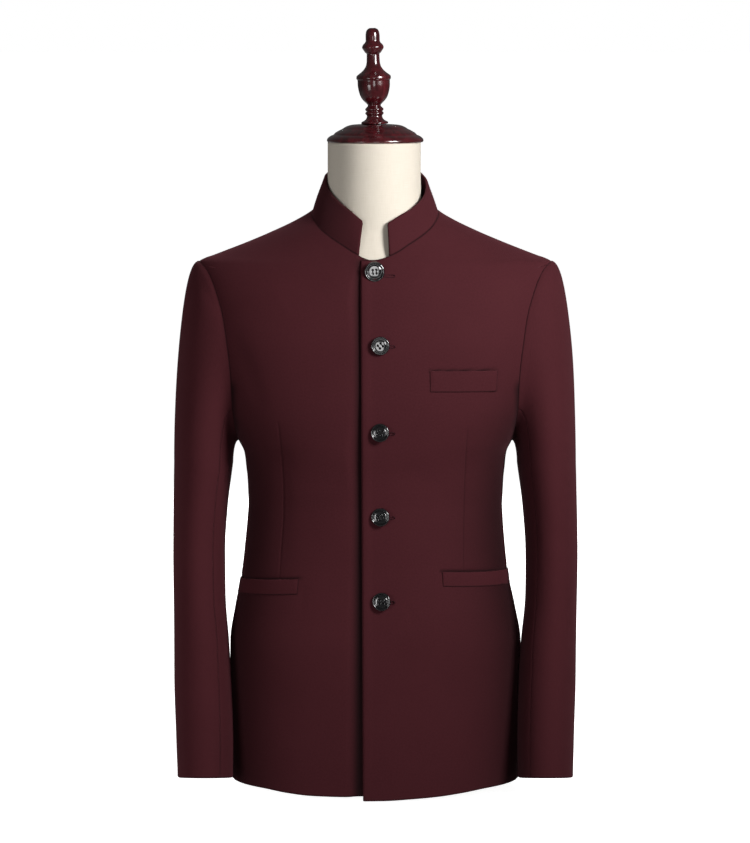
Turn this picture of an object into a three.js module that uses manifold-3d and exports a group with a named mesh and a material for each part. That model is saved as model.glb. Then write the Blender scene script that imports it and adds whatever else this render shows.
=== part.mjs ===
// A zhongshan jacket with a standing band collar, filled out by a limbless dress form.
// Millimetres, +Z up. The front of the jacket faces -Y and the wearer's left is +X.
// The origin is the middle of the underside of the form's base, which stands on a flat surface.
//
// The body of the jacket is one smooth surface of level oval sections, from which the front,
// side and back panels are cut. A point on it is named by its angle round the body (-90 is the
// centre front, 0 the wearer's left side, 90 the centre back) and its height. Every cloth piece
// is a wall: a grid of points on its outer face, and the same grid moved in by its thickness.
import * as THREE from 'three';
import { mergeVertices } from 'three/addons/utils/BufferGeometryUtils.js';
import Module from 'manifold-3d';

// ---------------------------------------------------------------- driving dimensions

const CLOTH = 2.0;              // thickness of the fused suiting wall
const SEAM_GAP = 0.4;           // space between two pieces that are sewn together
const HEM_HEIGHT = 12.5;        // hem of the sides and the back above the stand's underside
const UNDERARM = 428.5;         // lowest point of the armhole
const SHOULDER_POINT = 643.5;   // highest point of the armhole
const NECK_POINT = 709.5;       // where the shoulder seam meets the collar
const CLOSURE_TOP = 652;        // top corner of the closing edges, below the throat
const CLOSURE_EDGE = { bottom: -14, top: -17 };  // x of the closing edge past the centre
const UNDERLAP = { tuck: 3.0, flatTo: 0.24, clearFrom: 0.33 };  // the under front, tucked behind
const CUFF_HEIGHT = 20.5;         // middle of the cuff's opening
const SLEEVE_TOP_RING = 400;    // height at which the sleeve becomes a free tube
const COLLAR_THICKNESS = 2;
const WELT_THICKNESS = 1.6;
const WELT_LIFT = 1.2;          // clear of the panel that a welt lies on
const BUTTON_STANDOFF = 1.2;    // length of a button's thread shank
const NECK_TOP = 789.5;         // where the form's neck meets its wooden cap
const BASE = { halfWidth: 100, halfDepth: 76, height: 21.7 };

// Level sections of the jacket's body: half width, depth to the front and to the back, and the
// power of the oval (2 is an ellipse, more is squarer, less is closer to a diamond).
const BODY = [
  { z: 0, half: 176.8, front: 119, back: 113, power: 2.3 },
  { z: 90, half: 178.2, front: 121, back: 117, power: 2.3 },
  { z: 180, half: 178.4, front: 120, back: 118, power: 2.3 },
  { z: 225, half: 171.5, front: 117, back: 112, power: 2.3 },
  { z: 262, half: 163.5, front: 113.5, back: 104, power: 2.3 },
  { z: 295, half: 159.2, front: 110.5, back: 97, power: 2.3 },
  { z: 350, half: 155.2, front: 109, back: 90, power: 2.35 },
  { z: 380, half: 155.8, front: 112, back: 92, power: 2.4 },
  { z: 400, half: 157.6, front: 115, back: 96, power: 2.4 },
  { z: 414, half: 160, front: 118, back: 100, power: 2.42 },
  { z: 430, half: 167.5, front: 120.5, back: 104, power: 2.45 },
  { z: 480, half: 187, front: 124.5, back: 114, power: 2.5 },
  { z: 540, half: 201, front: 121, back: 121, power: 2.5 },
  { z: 600, half: 210, front: 109, back: 121, power: 2.3 },
  { z: 625, half: 213.8, front: 102, back: 115.5, power: 2.05 },
  { z: 640, half: 215.5, front: 96, back: 110.5, power: 1.78 },
  { z: 645, half: 214.2, front: 93.5, back: 108.5, power: 1.7 },
  { z: 649, half: 207.5, front: 91.5, back: 107, power: 1.65 },
  { z: 652, half: 198.8, front: 89.7, back: 105.5, power: 1.62 },
  { z: 658, half: 183, front: 86.3, back: 102.5, power: 1.6 },
  { z: 667, half: 160, front: 81.5, back: 98, power: 1.6 },
  { z: 681, half: 126.9, front: 76.3, back: 91, power: 1.62 },
  { z: 696, half: 95.4, front: 71, back: 84, power: 1.64 },
  { z: 706.5, half: 78, front: 68, back: 79.5, power: 1.66 },
  { z: 712, half: 72, front: 66, back: 77, power: 1.7 },
  { z: 735, half: 63, front: 60, back: 65, power: 2.0 },
];

// Height of the hem of the two fronts, round the body.
const HEM = [
  { angle: -98, over: 2.2, under: 7.8 },
  { angle: -84, over: 2.6, under: 7.6 },
  { angle: -70, over: 4.2, under: 7 },
  { angle: -55, over: 6.3, under: 7.2 },
  { angle: -43, over: 9, under: 9 },
  { angle: -31, over: 11.8, under: 11.8 },
  { angle: -16, over: HEM_HEIGHT, under: HEM_HEIGHT },
  { angle: -8, over: HEM_HEIGHT, under: HEM_HEIGHT },
];

// Height of the neck seam, and of the collar's top edge, round the neck.
const NECKLINE = [
  { angle: -105, z: 652 },
  { angle: -90, z: 652.5 },
  { angle: -77, z: 658 },
  { angle: -60, z: 671 },
  { angle: -40, z: 686.5 },
  { angle: -25, z: 697.5 },
  { angle: 0, z: NECK_POINT },
  { angle: 30, z: 719 },
  { angle: 60, z: 729 },
  { angle: 90, z: 733 },
];
const COLLAR_TOP = [
  { angle: -80, left: 694.5, right: 696 },
  { angle: -65, left: 704.5, right: 709.5 },
  { angle: -51, left: 712, right: 719 },
  { angle: -43, left: 716.5, right: 724 },
  { angle: -22, left: 727.5, right: 736 },
  { angle: 0, left: 741, right: 748 },
  { angle: 20, left: 750.5, right: 753.5 },
  { angle: 45, left: 762, right: 762 },
  { angle: 90, left: 770, right: 770 },
];
const COLLAR_OVAL = { half: 61, front: 74, back: 57.5, power: 2.0 };  // plan of the top edge
const COLLAR_RISE = 0.65;       // the collar's lower edge above the neck seam
const COLLAR_SPRING = 0.08;     // how far the band springs up before it leans in
const COLLAR_COLUMNS = 36;
const COLLAR_FLARE = 0.36;      // the plan is wider by this share of how much lower the top is
// Angles of the collar's two front ends, at the neck seam and at the top.
const COLLAR_ENDS = { left: { base: -78.6, top: -78.6 }, right: { base: -76.5, top: -78.4 } };

// The armhole is an oval on the body's surface, wider in front than behind. Its turns are
// counted from the shoulder point, and the side panel's two seams end on it.
const ARMHOLE = { frontReach: 22, frontSkew: 0.1, backReach: 17 };
const SEAM_TURN = { front: -170, back: 121 };
const ARMHOLE_STEPS = { front: 8, back: 8, under: 4 };  // rows of the front, back and side there
const SLEEVE_SEAM_STEP = 2;     // the sleeve's front seam, in steps from the side panel's

// Seams between the panels of the body, as angles at heights, up to where they meet the armhole.
const FRONT_SEAM = [
  { z: 0, angle: -9 },
  { z: 350, angle: -8 },
];
const BACK_SEAM = [
  { z: 0, angle: 35 },
  { z: 200, angle: 38 },
  { z: 350, angle: 38 },
  { z: 420, angle: 28 },
];

// Level rings of the sleeve's free tube: middle, half width, half depth and forward tilt.
const SLEEVE = [
  { z: CUFF_HEIGHT, x: 208.9, y: -61, halfX: 31.5, halfY: 54, tilt: 10 },
  { z: 70, x: 209.4, y: -52, halfX: 32.9, halfY: 55, tilt: 10 },
  { z: 120, x: 210.6, y: -43, halfX: 33.5, halfY: 56, tilt: 9.5 },
  { z: 180, x: 212.0, y: -32, halfX: 33.3, halfY: 58, tilt: 9 },
  { z: 240, x: 214.5, y: -21, halfX: 31.7, halfY: 60, tilt: 7.5 },
  { z: 295, x: 215.0, y: -12.5, halfX: 31.6, halfY: 62.5, tilt: 5.5 },
  { z: 345, x: 213.3, y: -6.5, halfX: 32.9, halfY: 66, tilt: 3 },
  { z: SLEEVE_TOP_RING, x: 209.2, y: -2, halfX: 35.8, halfY: 70, tilt: 0 },
];
const SLEEVE_STANDOFF = 0.7;    // the sleeve's first ring above the body panels
const SLEEVE_SEAM_SHIFT = 0.25; // half the gap of the sleeve's two seams, in degrees round it
const CAP_RINGS = [0, 0.07, 0.16, 0.28, 0.42, 0.57, 0.72, 0.86, 1];
const CAP_ROUNDNESS = 1.6;
const SLEEVE_ROWS = 8;

// Welted pockets: the ends as angles round the body, the heights of the ends' middles.
const WELTS = [
  { name: 'breast_welt', side: 1, from: -61.5, to: -33, fromZ: 509, toZ: 507.5, height: 24.5 },
  { name: 'hip_welt_left', side: 1, from: -51.7, to: 1, fromZ: 269, toZ: 260.7, height: 16.8 },
  { name: 'hip_welt_right', side: -1, from: -47, to: 1, fromZ: 259.5, toZ: 248.6, height: 17.6 },
];

const BUTTONS = [
  { x: -0.9, z: 638.8, radius: 12.1 },
  { x: 5.9, z: 551.9, radius: 11.1 },
  { x: 6.3, z: 448.3, radius: 11.1 },
  { x: 6.8, z: 345.3, radius: 11.1 },
  { x: 8.2, z: 244.1, radius: 11.1 },
];
// Half section of a button, as shares of its radius and thickness, from the back to the face.
const BUTTON_PROFILE = [
  { r: 0, h: 0 }, { r: 0.78, h: 0 }, { r: 0.97, h: 0.3 }, { r: 1, h: 0.62 }, { r: 0.93, h: 1 },
  { r: 0.82, h: 0.98 }, { r: 0.68, h: 0.62 }, { r: 0, h: 0.55 },
];
const BUTTON_THICKNESS = 4.2;
const BUTTON_HOLE = { radius: 1.0, spread: 2.0 };  // four thread holes in a square

// The dress form inside the jacket: how far its sections are in from the jacket's outer face.
const FORM_CLEARANCE = [
  { z: 22, half: 10, front: 9.5, back: 9.5 },
  { z: 90, half: 10, front: 9.5, back: 9.5 },
  { z: 180, half: 10, front: 9.5, back: 9.5 },
  { z: 240, half: 10, front: 9.5, back: 9.5 },
  { z: 295, half: 10, front: 9.5, back: 9.5 },
  { z: 350, half: 10, front: 9.5, back: 9.5 },
  { z: 400, half: 10, front: 9.5, back: 9.5 },
  { z: 430, half: 10, front: 9.5, back: 9.5 },
  { z: 480, half: 10, front: 9, back: 9.5 },
  { z: 540, half: 10, front: 9, back: 9.5 },
  { z: 600, half: 10, front: 9, back: 9.5 },
  { z: 625, half: 11, front: 9, back: 10 },
  { z: 638, half: 15, front: 8.5, back: 10 },
  { z: 648, half: 22, front: 8, back: 10 },
  { z: 660, half: 18, front: 7, back: 11 },
  { z: 675, half: 18, front: 6.5, back: 14 },
];
// Its neck, above that.
const NECK = [
  { z: 688, half: 92, front: 68.3, back: 70, power: 1.7 },
  { z: 698, half: 72, front: 68.3, back: 62, power: 1.8 },
  { z: 708, half: 61.5, front: 68.3, back: 56.5, power: 1.95, shift: -0.4 },
  { z: 722, half: 57, front: 68.5, back: 53, power: 2.0, shift: -0.9 },
  { z: 750, half: 56.4, front: 68.5, back: 52.5, power: 2.0, shift: -1.2 },
  { z: NECK_TOP, half: 56.4, front: 68.5, back: 52.5, power: 2.0, shift: -1.2 },
];
const FORM_SIDES = 28;

// Turned wood on the neck: radius at height above the neck's top.
const CAP_PROFILE = [
  { r: 0, h: 0.3 }, { r: 57.5, h: 0.3 }, { r: 58.3, h: 2.5 }, { r: 54.8, h: 6.5 },
  { r: 50, h: 9.5 }, { r: 46.5, h: 12.5 }, { r: 37.4, h: 17.5 }, { r: 28.3, h: 21.1 },
  { r: 0, h: 21.7 },
];
const FINIAL_PROFILE = [
  { r: 0, h: 22.5 }, { r: 16.2, h: 22.5 }, { r: 13.1, h: 25.7 }, { r: 9.2, h: 31.8 },
  { r: 11.1, h: 34.6 }, { r: 9.5, h: 37.3 }, { r: 11.1, h: 39.8 }, { r: 7.7, h: 44.4 },
  { r: 12.5, h: 49.9 }, { r: 16.6, h: 56 }, { r: 18.8, h: 64 }, { r: 19.4, h: 74 },
  { r: 20.9, h: 77.1 }, { r: 20.8, h: 79.2 }, { r: 16.2, h: 83.2 }, { r: 11.1, h: 88.2 },
  { r: 8.1, h: 96.3 }, { r: 7.7, h: 106.3 }, { r: 10.3, h: 109.4 }, { r: 13.1, h: 114.5 },
  { r: 10.1, h: 119.2 }, { r: 8.4, h: 121.5 }, { r: 8.3, h: 130 }, { r: 6.3, h: 135.6 },
  { r: 0, h: 138 },
];
const TURNED_SIDES = 22;
const NECK_MIDDLE_Y = -8;       // the neck stands forward of the origin
const FINIAL_LEAN = -1.4;       // degrees to the wearer's right

// ---------------------------------------------------------------- finishes

const finish = (color, roughness, metalness = 0) =>
  new THREE.MeshStandardMaterial({ color, roughness, metalness });
const FINISH = {
  suiting: finish(0x451f25, 0.85),
  resin: finish(0x15151a, 0.2),
  linen: finish(0xe4dccb, 0.9),
  wood: finish(0x421018, 0.25),
};

// ---------------------------------------------------------------- small mathematics

const degrees = THREE.MathUtils.degToRad;
const mix = THREE.MathUtils.lerp;
const vec = (x, y, z) => new THREE.Vector3(x, y, z);
const spread = (count, from = 0, to = 1) =>
  Array.from({ length: count + 1 }, (_, i) => mix(from, to, i / count));

// The slope of a monotone cubic at row i, from the slopes of the spans on either side of it.
function slopeAt(rows, key, column, i) {
  const span = (k) => (rows[k + 1][column] - rows[k][column]) / (rows[k + 1][key] - rows[k][key]);
  if (i === 0) return span(0);
  if (i === rows.length - 1) return span(i - 1);
  const [before, after] = [span(i - 1), span(i)];
  return before * after <= 0 ? 0 : (2 * before * after) / (before + after);
}

// The value of a column at a place between a table's rows, on a smooth curve with no overshoot.
function lookUp(rows, key, column, at) {
  const last = rows.length - 1;
  if (at <= rows[0][key]) return rows[0][column];
  if (at >= rows[last][key]) return rows[last][column];
  const i = rows.findIndex((row, k) => k < last && at < rows[k + 1][key]);
  const width = rows[i + 1][key] - rows[i][key];
  const t = (at - rows[i][key]) / width;
  const [a, b] = [rows[i][column], rows[i + 1][column]];
  const [m, n] = [slopeAt(rows, key, column, i), slopeAt(rows, key, column, i + 1)];
  return a + (b - a) * t * t * (3 - 2 * t)
    + width * t * (1 - t) * (m * (1 - t) - n * t);
}

// A point on an oval of four named sizes, at an angle in degrees and a height. The oval may be
// moved sideways.
function ovalPoint(oval, angle, z) {
  const [c, s] = [Math.cos(degrees(angle)), Math.sin(degrees(angle))];
  const depth = s < 0 ? oval.front : oval.back;
  const sum = Math.abs(c / oval.half) ** oval.power + Math.abs(s / depth) ** oval.power;
  const radius = sum ** (-1 / oval.power);
  return vec(radius * c + (oval.shift ?? 0), radius * s, z);
}

function ovalAt(rows, z) {
  const column = (name) => lookUp(rows, 'z', name, z);
  return { half: column('half'), front: column('front'), back: column('back'), power: column('power') };
}

// The outward normal of a surface given as a function of two parameters, by central differences.
function normalOf(surface, u, v, stepU, stepV) {
  const alongU = surface(u + stepU, v).sub(surface(u - stepU, v));
  const alongV = surface(u, v + stepV).sub(surface(u, v - stepV));
  return alongU.cross(alongV).normalize();
}

// ---------------------------------------------------------------- the jacket's body surface

const formSections = [
  ...FORM_CLEARANCE.map(({ z, half, front, back }) => {
    const jacket = ovalAt(BODY, z);
    return {
      z,
      half: jacket.half - half,
      front: jacket.front - front,
      back: jacket.back - back,
      power: jacket.power,
    };
  }),
  ...NECK,
];
const bodyPoint = (angle, z) => ovalPoint(ovalAt(BODY, z), angle, z);
const bodyNormal = (angle, z) => normalOf(bodyPoint, angle, z, 0.2, 0.4);

// The angle on the front where the body's surface is at x.
function angleAtX(x, z) {
  let [low, high] = [-175, -5];
  for (let i = 0; i < 40; i += 1) {
    const middle = (low + high) / 2;
    if (bodyPoint(middle, z).x < x) low = middle;
    else high = middle;
  }
  return (low + high) / 2;
}

const foldBack = (angle) => (angle > 90 ? 180 - angle : angle);
const neckHeight = (angle) => lookUp(NECKLINE, 'angle', 'z', foldBack(angle));
const closureX = (z) => mix(CLOSURE_EDGE.bottom, CLOSURE_EDGE.top, z / CLOSURE_TOP);
const seamShift = (angle, z) =>
  THREE.MathUtils.radToDeg(SEAM_GAP / 2 / Math.hypot(bodyPoint(angle, z).x, bodyPoint(angle, z).y));

// A point of the armhole's outline; turn 0 is the shoulder point, -90 the front, 180 the underarm.
function armhole(turn) {
  const [c, s] = [Math.cos(degrees(turn)), Math.sin(degrees(turn))];
  const middle = (SHOULDER_POINT + UNDERARM) / 2;
  const reach = s < 0
    ? ARMHOLE.frontReach * (1 - ARMHOLE.frontSkew * c)
    : ARMHOLE.backReach;
  return { angle: reach * s, z: middle + (middle - UNDERARM) * c };
}

const frontTurns = spread(ARMHOLE_STEPS.front, SEAM_TURN.front, 0);
const backTurns = spread(ARMHOLE_STEPS.back, SEAM_TURN.back, 0);
const underTurns = spread(ARMHOLE_STEPS.under, SEAM_TURN.back, SEAM_TURN.front + 360);
const frontSeam = [...FRONT_SEAM, armhole(SEAM_TURN.front)];
const backSeam = [...BACK_SEAM, armhole(SEAM_TURN.back)];

// ---------------------------------------------------------------- walls

// A closed wall between an outer and an inner grid of points, or its mirror image in x.
function wallGeometry(outer, inner, side = 1) {
  const positions = [];
  const put = (p) => positions.push(side * p.x, p.y, p.z);
  const triangle = (a, b, c) => (side > 0 ? [a, b, c] : [a, c, b]).forEach(put);
  const quad = (a, b, c, d) => {
    triangle(a, b, c);
    triangle(a, c, d);
  };
  const [lastRow, lastColumn] = [outer.length - 1, outer[0].length - 1];
  for (let i = 0; i < lastRow; i += 1) {
    for (let j = 0; j < lastColumn; j += 1) {
      quad(outer[i][j], outer[i][j + 1], outer[i + 1][j + 1], outer[i + 1][j]);
      quad(inner[i][j], inner[i + 1][j], inner[i + 1][j + 1], inner[i][j + 1]);
    }
    quad(outer[i][0], outer[i + 1][0], inner[i + 1][0], inner[i][0]);
    quad(outer[i + 1][lastColumn], outer[i][lastColumn], inner[i][lastColumn], inner[i + 1][lastColumn]);
  }
  for (let j = 0; j < lastColumn; j += 1) {
    quad(inner[0][j], inner[0][j + 1], outer[0][j + 1], outer[0][j]);
    quad(outer[lastRow][j], outer[lastRow][j + 1], inner[lastRow][j + 1], inner[lastRow][j]);
  }
  const geometry = new THREE.BufferGeometry();
  geometry.setAttribute('position', new THREE.Float32BufferAttribute(positions, 3));
  geometry.computeVertexNormals();
  return geometry;
}

// A wall on the body's surface from a grid of {angle, z, u}, moved out by a function of u.
function bodyWall(grid, { side = 1, thickness = CLOTH, lift = () => 0 } = {}) {
  const face = (depth) => grid.map((row) => row.map(({ angle, z, u }) =>
    bodyPoint(angle, z).addScaledVector(bodyNormal(angle, z), lift(u) - depth)));
  return wallGeometry(face(0), face(thickness), side);
}

// A four-sided patch in {angle, z}: rows run from a left edge point to a right edge point, and
// near the first and last row they are bent as the bottom and top edges are.
function patch(leftEdge, rightEdge, bottomEdge, topEdge, columns, bend = 3) {
  const last = leftEdge.length - 1;
  const between = (a, b, u) => ({ angle: mix(a.angle, b.angle, u), z: mix(a.z, b.z, u) });
  return leftEdge.map((left, i) => columns.map((u) => {
    const point = { ...between(left, rightEdge[i], u), u };
    [[bottomEdge, 1 - i / last], [topEdge, i / last]].forEach(([edge, share]) => {
      const chord = between(edge(0), edge(1), u);
      point.angle += share ** bend * (edge(u).angle - chord.angle);
      point.z += share ** bend * (edge(u).z - chord.z);
    });
    return point;
  }));
}

// ---------------------------------------------------------------- body panels

// Rows of a panel, as shares of the way from the hem to the armhole.
const SEAM_SHARES = [0, 0.1, 0.23, 0.36, 0.49, 0.6, 0.71, 0.81, 0.91, 1];
const SHOULDER_SHARES = [0, 0.06, 0.14, 0.28, 0.46, 0.66, 0.84, 1];  // rows up the shoulder seam
const CHEST_ROW = 598;          // height at the centre front of the row through the shoulder point
const BACK_ROW = 640;           // and at the centre back
const FRONT_COLUMNS = [0, 0.08, 0.16, 0.24, 0.33, 0.42, 0.51, 0.6, 0.68, 0.76, 0.84, 0.92, 1];
const BACK_COLUMNS = spread(8);

const shoulderRows = (from, to) => SHOULDER_SHARES.slice(1).map((share) => mix(from, to, share));

// Heights from the hem to a top, spaced as the shares of a seam.
const levelsTo = (top) => SEAM_SHARES.map((share) => mix(HEM_HEIGHT, top, share));

// A side panel's seam, moved to one side by half of the gap.
const seamEdge = (seam, top, sign) => levelsTo(top).map((z) => {
  const angle = lookUp(seam, 'z', 'angle', z);
  return { angle: angle + sign * seamShift(angle, z), z };
});

// The edge that a front or back shares with the side panel, the sleeve and the other at the shoulder.
function outerEdge(seam, turns, sign) {
  const above = [
    ...turns.slice(1).map(armhole),
    ...shoulderRows(SHOULDER_POINT, NECK_POINT).map((z) => ({ angle: 0, z })),
  ];
  return [
    ...seamEdge(seam, armhole(turns[0]).z, sign),
    ...above.map(({ angle, z }) => ({ angle: angle + sign * seamShift(angle, z), z })),
  ];
}

function frontPanel(side, layer) {
  const hem = (angle) => lookUp(HEM, 'angle', layer, angle);
  const right = outerEdge(frontSeam, frontTurns, -1);
  const seamTop = armhole(SEAM_TURN.front).z;
  const centreHeights = [
    hem(HEM[0].angle), ...levelsTo(seamTop).slice(1),
    ...spread(ARMHOLE_STEPS.front, seamTop, CHEST_ROW).slice(1),
    ...shoulderRows(CHEST_ROW, CLOSURE_TOP),
  ];
  const left = centreHeights.map((z) => ({ angle: angleAtX(closureX(z), z), z }));
  const [first, last] = [0, right.length - 1];
  const bottomEdge = (u) => {
    const angle = mix(left[first].angle, right[first].angle, u);
    return { angle, z: hem(angle) };
  };
  const topEdge = (u) => {
    const angle = mix(left[last].angle, right[last].angle, u);
    return { angle, z: neckHeight(angle) };
  };
  const { tuck, flatTo, clearFrom } = UNDERLAP;
  const underlap = (u) => tuck * (THREE.MathUtils.smoothstep(u, flatTo, clearFrom) - 1);
  return bodyWall(patch(left, right, bottomEdge, topEdge, FRONT_COLUMNS), {
    side,
    lift: layer === 'under' ? underlap : undefined,
  });
}

function sidePanel(side) {
  const top = (u) => armhole(mix(SEAM_TURN.front + 360, SEAM_TURN.back, u));
  const left = seamEdge(frontSeam, top(0).z, 1);
  const right = seamEdge(backSeam, top(1).z, -1);
  const bottomEdge = (u) => ({ angle: mix(left[0].angle, right[0].angle, u), z: HEM_HEIGHT });
  return bodyWall(patch(left, right, bottomEdge, top, spread(ARMHOLE_STEPS.under), 2), { side });
}

function backPanel(side) {
  const left = outerEdge(backSeam, backTurns, 1);
  const seamTop = armhole(SEAM_TURN.back).z;
  const centreHeights = [
    ...levelsTo(seamTop),
    ...spread(ARMHOLE_STEPS.back, seamTop, BACK_ROW).slice(1),
    ...shoulderRows(BACK_ROW, neckHeight(90)),
  ];
  const right = centreHeights.map((z) => ({ angle: 90 - seamShift(90, z), z }));
  const [first, last] = [0, left.length - 1];
  const bottomEdge = (u) => ({ angle: mix(left[first].angle, right[first].angle, u), z: HEM_HEIGHT });
  const topEdge = (u) => {
    const angle = mix(left[last].angle, right[last].angle, u);
    return { angle, z: neckHeight(angle) };
  };
  return bodyWall(patch(left, right, bottomEdge, topEdge, BACK_COLUMNS), { side });
}

// ---------------------------------------------------------------- collar

function collarPoint(angle, share) {
  const base = bodyPoint(angle, neckHeight(angle)).add(vec(0, 0, COLLAR_RISE));
  const height = (hand) => lookUp(COLLAR_TOP, 'angle', hand, foldBack(angle));
  const z = height(angle > 90 ? 'right' : 'left');
  const top = ovalPoint(COLLAR_OVAL, angle, z);
  const flare = 1 + (COLLAR_FLARE * (height('right') - z)) / Math.hypot(top.x, top.y);
  const lean = share - COLLAR_SPRING * Math.sin(Math.PI * share);
  return vec(mix(base.x, flare * top.x, lean), mix(base.y, flare * top.y, lean), mix(base.z, z, share));
}

function collar() {
  const { left, right } = COLLAR_ENDS;
  const face = (depth) => spread(3).map((share) => {
    const from = mix(left.base, left.top, share);
    const to = 180 - mix(right.base, right.top, share);
    return spread(COLLAR_COLUMNS, from, to).map((angle) => {
      const normal = normalOf(collarPoint, angle, share, 0.3, 0.05);
      return collarPoint(angle, share).addScaledVector(normal, -depth);
    });
  });
  return wallGeometry(face(0), face(COLLAR_THICKNESS));
}

// ---------------------------------------------------------------- sleeves

function tubePoint(turn, z) {
  const ring = (name) => lookUp(SLEEVE, 'z', name, z);
  const [c, s] = [Math.cos(degrees(turn)), Math.sin(degrees(turn))];
  const lean = degrees(ring('tilt'));
  const forward = ring('halfY') * s;
  return vec(
    ring('x') + ring('halfX') * c,
    ring('y') + forward * Math.cos(lean),
    z - forward * Math.sin(lean),
  );
}

// The armhole's seam line in space, with the body's normal and the direction away from the hole.
function armholeSeam(turn) {
  const at = (t) => bodyPoint(armhole(t).angle, armhole(t).z);
  const normal = bodyNormal(armhole(turn).angle, armhole(turn).z);
  const tangent = at(turn + 0.5).sub(at(turn - 0.5)).normalize();
  const away = tangent.clone().cross(normal).normalize();
  const middle = vec(away.x * 0, 0, (SHOULDER_POINT + UNDERARM) / 2);
  const point = at(turn);
  if (away.dot(vec(0, point.y, point.z - middle.z)) < 0) away.negate();
  return { point, normal, away };
}

// The outer face of the sleeve: share below 1 is the cap, and above 1 it runs down the tube.
function sleevePoint(turn, share) {
  if (share >= 1) return tubePoint(turn, mix(SLEEVE_TOP_RING, CUFF_HEIGHT, share - 1));
  const seam = armholeSeam(turn);
  const start = seam.point.clone()
    .addScaledVector(seam.away, CLOTH)
    .addScaledVector(seam.normal, SLEEVE_STANDOFF);
  const end = tubePoint(turn, SLEEVE_TOP_RING);
  const out = 1 - (1 - Math.max(share, 0)) ** CAP_ROUNDNESS;
  return vec(mix(start.x, end.x, out), mix(start.y, end.y, out), mix(start.z, end.z, share * share));
}

// A piece of the sleeve between two of its seams, from the cuff up to the armhole.
function sleevePiece(side, seamTurns) {
  const turns = [...seamTurns];
  turns[0] += SLEEVE_SEAM_SHIFT;
  turns[turns.length - 1] -= SLEEVE_SEAM_SHIFT;
  const shares = [...CAP_RINGS, ...spread(SLEEVE_ROWS, 1, 2).slice(1)].reverse();
  const outer = shares.map((share) => turns.map((turn) => sleevePoint(turn, share)));
  const inner = shares.map((share, i) => turns.map((turn, j) => {
    if (share === 0) {
      const seam = armholeSeam(turn);
      return seam.point.clone().addScaledVector(seam.normal, SLEEVE_STANDOFF);
    }
    const normal = normalOf(sleevePoint, turn, Math.min(share, 1.98), 0.5, -0.02);
    return outer[i][j].clone().addScaledVector(normal, -CLOTH);
  }));
  return wallGeometry(outer, inner, side);
}

const topTurns = [...frontTurns.slice(SLEEVE_SEAM_STEP, -1), ...[...backTurns].reverse()];
const bottomTurns = [
  ...underTurns,
  ...frontTurns.slice(1, SLEEVE_SEAM_STEP + 1).map((turn) => turn + 360),
];

// ---------------------------------------------------------------- pockets and buttons

function welt({ side, from, to, fromZ, toZ, height }) {
  const grid = spread(2, -0.5, 0.5).map((up) => spread(8).map((share) => ({
    angle: mix(from, to, share),
    z: mix(fromZ, toZ, share) + up * height,
  })));
  return bodyWall(grid, {
    side,
    thickness: WELT_THICKNESS,
    lift: () => WELT_LIFT + WELT_THICKNESS,
  });
}

const wasm = await Module();
wasm.setup();

function solidOf(geometry) {
  const bare = new THREE.BufferGeometry();
  bare.setAttribute('position', geometry.getAttribute('position'));
  bare.setIndex(geometry.index);
  const merged = mergeVertices(bare, 1e-4);
  return new wasm.Manifold(new wasm.Mesh({
    numProp: 3,
    vertProperties: merged.attributes.position.array,
    triVerts: new Uint32Array(merged.index.array),
  }));
}

function geometryOf(solid) {
  const { vertProperties, triVerts } = solid.getMesh();
  const geometry = new THREE.BufferGeometry();
  geometry.setAttribute('position', new THREE.Float32BufferAttribute(vertProperties, 3));
  geometry.setIndex(new THREE.BufferAttribute(triVerts, 1));
  geometry.computeVertexNormals();
  return geometry;
}

function turned(profile, sides) {
  return new THREE.LatheGeometry(profile.map(({ r, h }) => new THREE.Vector2(r, h)), sides);
}

function button(radius) {
  const profile = BUTTON_PROFILE.map(({ r, h }) => ({ r: r * radius, h: h * BUTTON_THICKNESS }));
  let solid = solidOf(turned(profile, 18));
  [[1, 1], [1, -1], [-1, 1], [-1, -1]].forEach(([x, z]) => {
    const hole = new THREE.CylinderGeometry(BUTTON_HOLE.radius, BUTTON_HOLE.radius, 12, 6);
    hole.translate(x * BUTTON_HOLE.spread, 0, z * BUTTON_HOLE.spread);
    solid = solid.subtract(solidOf(hole));
  });
  return geometryOf(solid);
}

// ---------------------------------------------------------------- dress form

// A closed solid through a table of ovals, flat at both ends.
function loft(rows, sides) {
  const rings = rows.map((row) => spread(sides, 0, 360).slice(0, -1)
    .map((angle) => ovalPoint(row, angle, row.z)));
  const positions = [];
  const put = (...points) => points.forEach((p) => positions.push(p.x, p.y, p.z));
  const next = (j) => (j + 1) % sides;
  for (let i = 0; i + 1 < rings.length; i += 1) {
    for (let j = 0; j < sides; j += 1) {
      const [a, b, c, d] = [rings[i][j], rings[i][next(j)], rings[i + 1][next(j)], rings[i + 1][j]];
      put(a, b, c, a, c, d);
    }
  }
  [[rings[0], false], [rings[rings.length - 1], true]].forEach(([ring, upward]) => {
    const middle = vec(0, 0, ring[0].z);
    ring.forEach((point, j) => put(middle, ...(upward ? [point, ring[next(j)]] : [ring[next(j)], point])));
  });
  const geometry = new THREE.BufferGeometry();
  geometry.setAttribute('position', new THREE.Float32BufferAttribute(positions, 3));
  geometry.computeVertexNormals();
  return geometry;
}

function baseGeometry() {
  const { halfWidth, halfDepth, height } = BASE;
  const profile = [
    { r: 0, h: 0 }, { r: 0.985, h: 0 }, { r: 1, h: 2 }, { r: 1, h: height - 5 },
    { r: 0.96, h: height }, { r: 0, h: height },
  ];
  return turned(profile, 32).rotateX(Math.PI / 2).scale(halfWidth, halfDepth, 1);
}

// ---------------------------------------------------------------- assembly

const garment = new THREE.Group();
const stand = new THREE.Group();

function add(group, name, geometry, material) {
  const mesh = new THREE.Mesh(geometry, material);
  mesh.name = name;
  group.add(mesh);
  return mesh;
}

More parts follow.
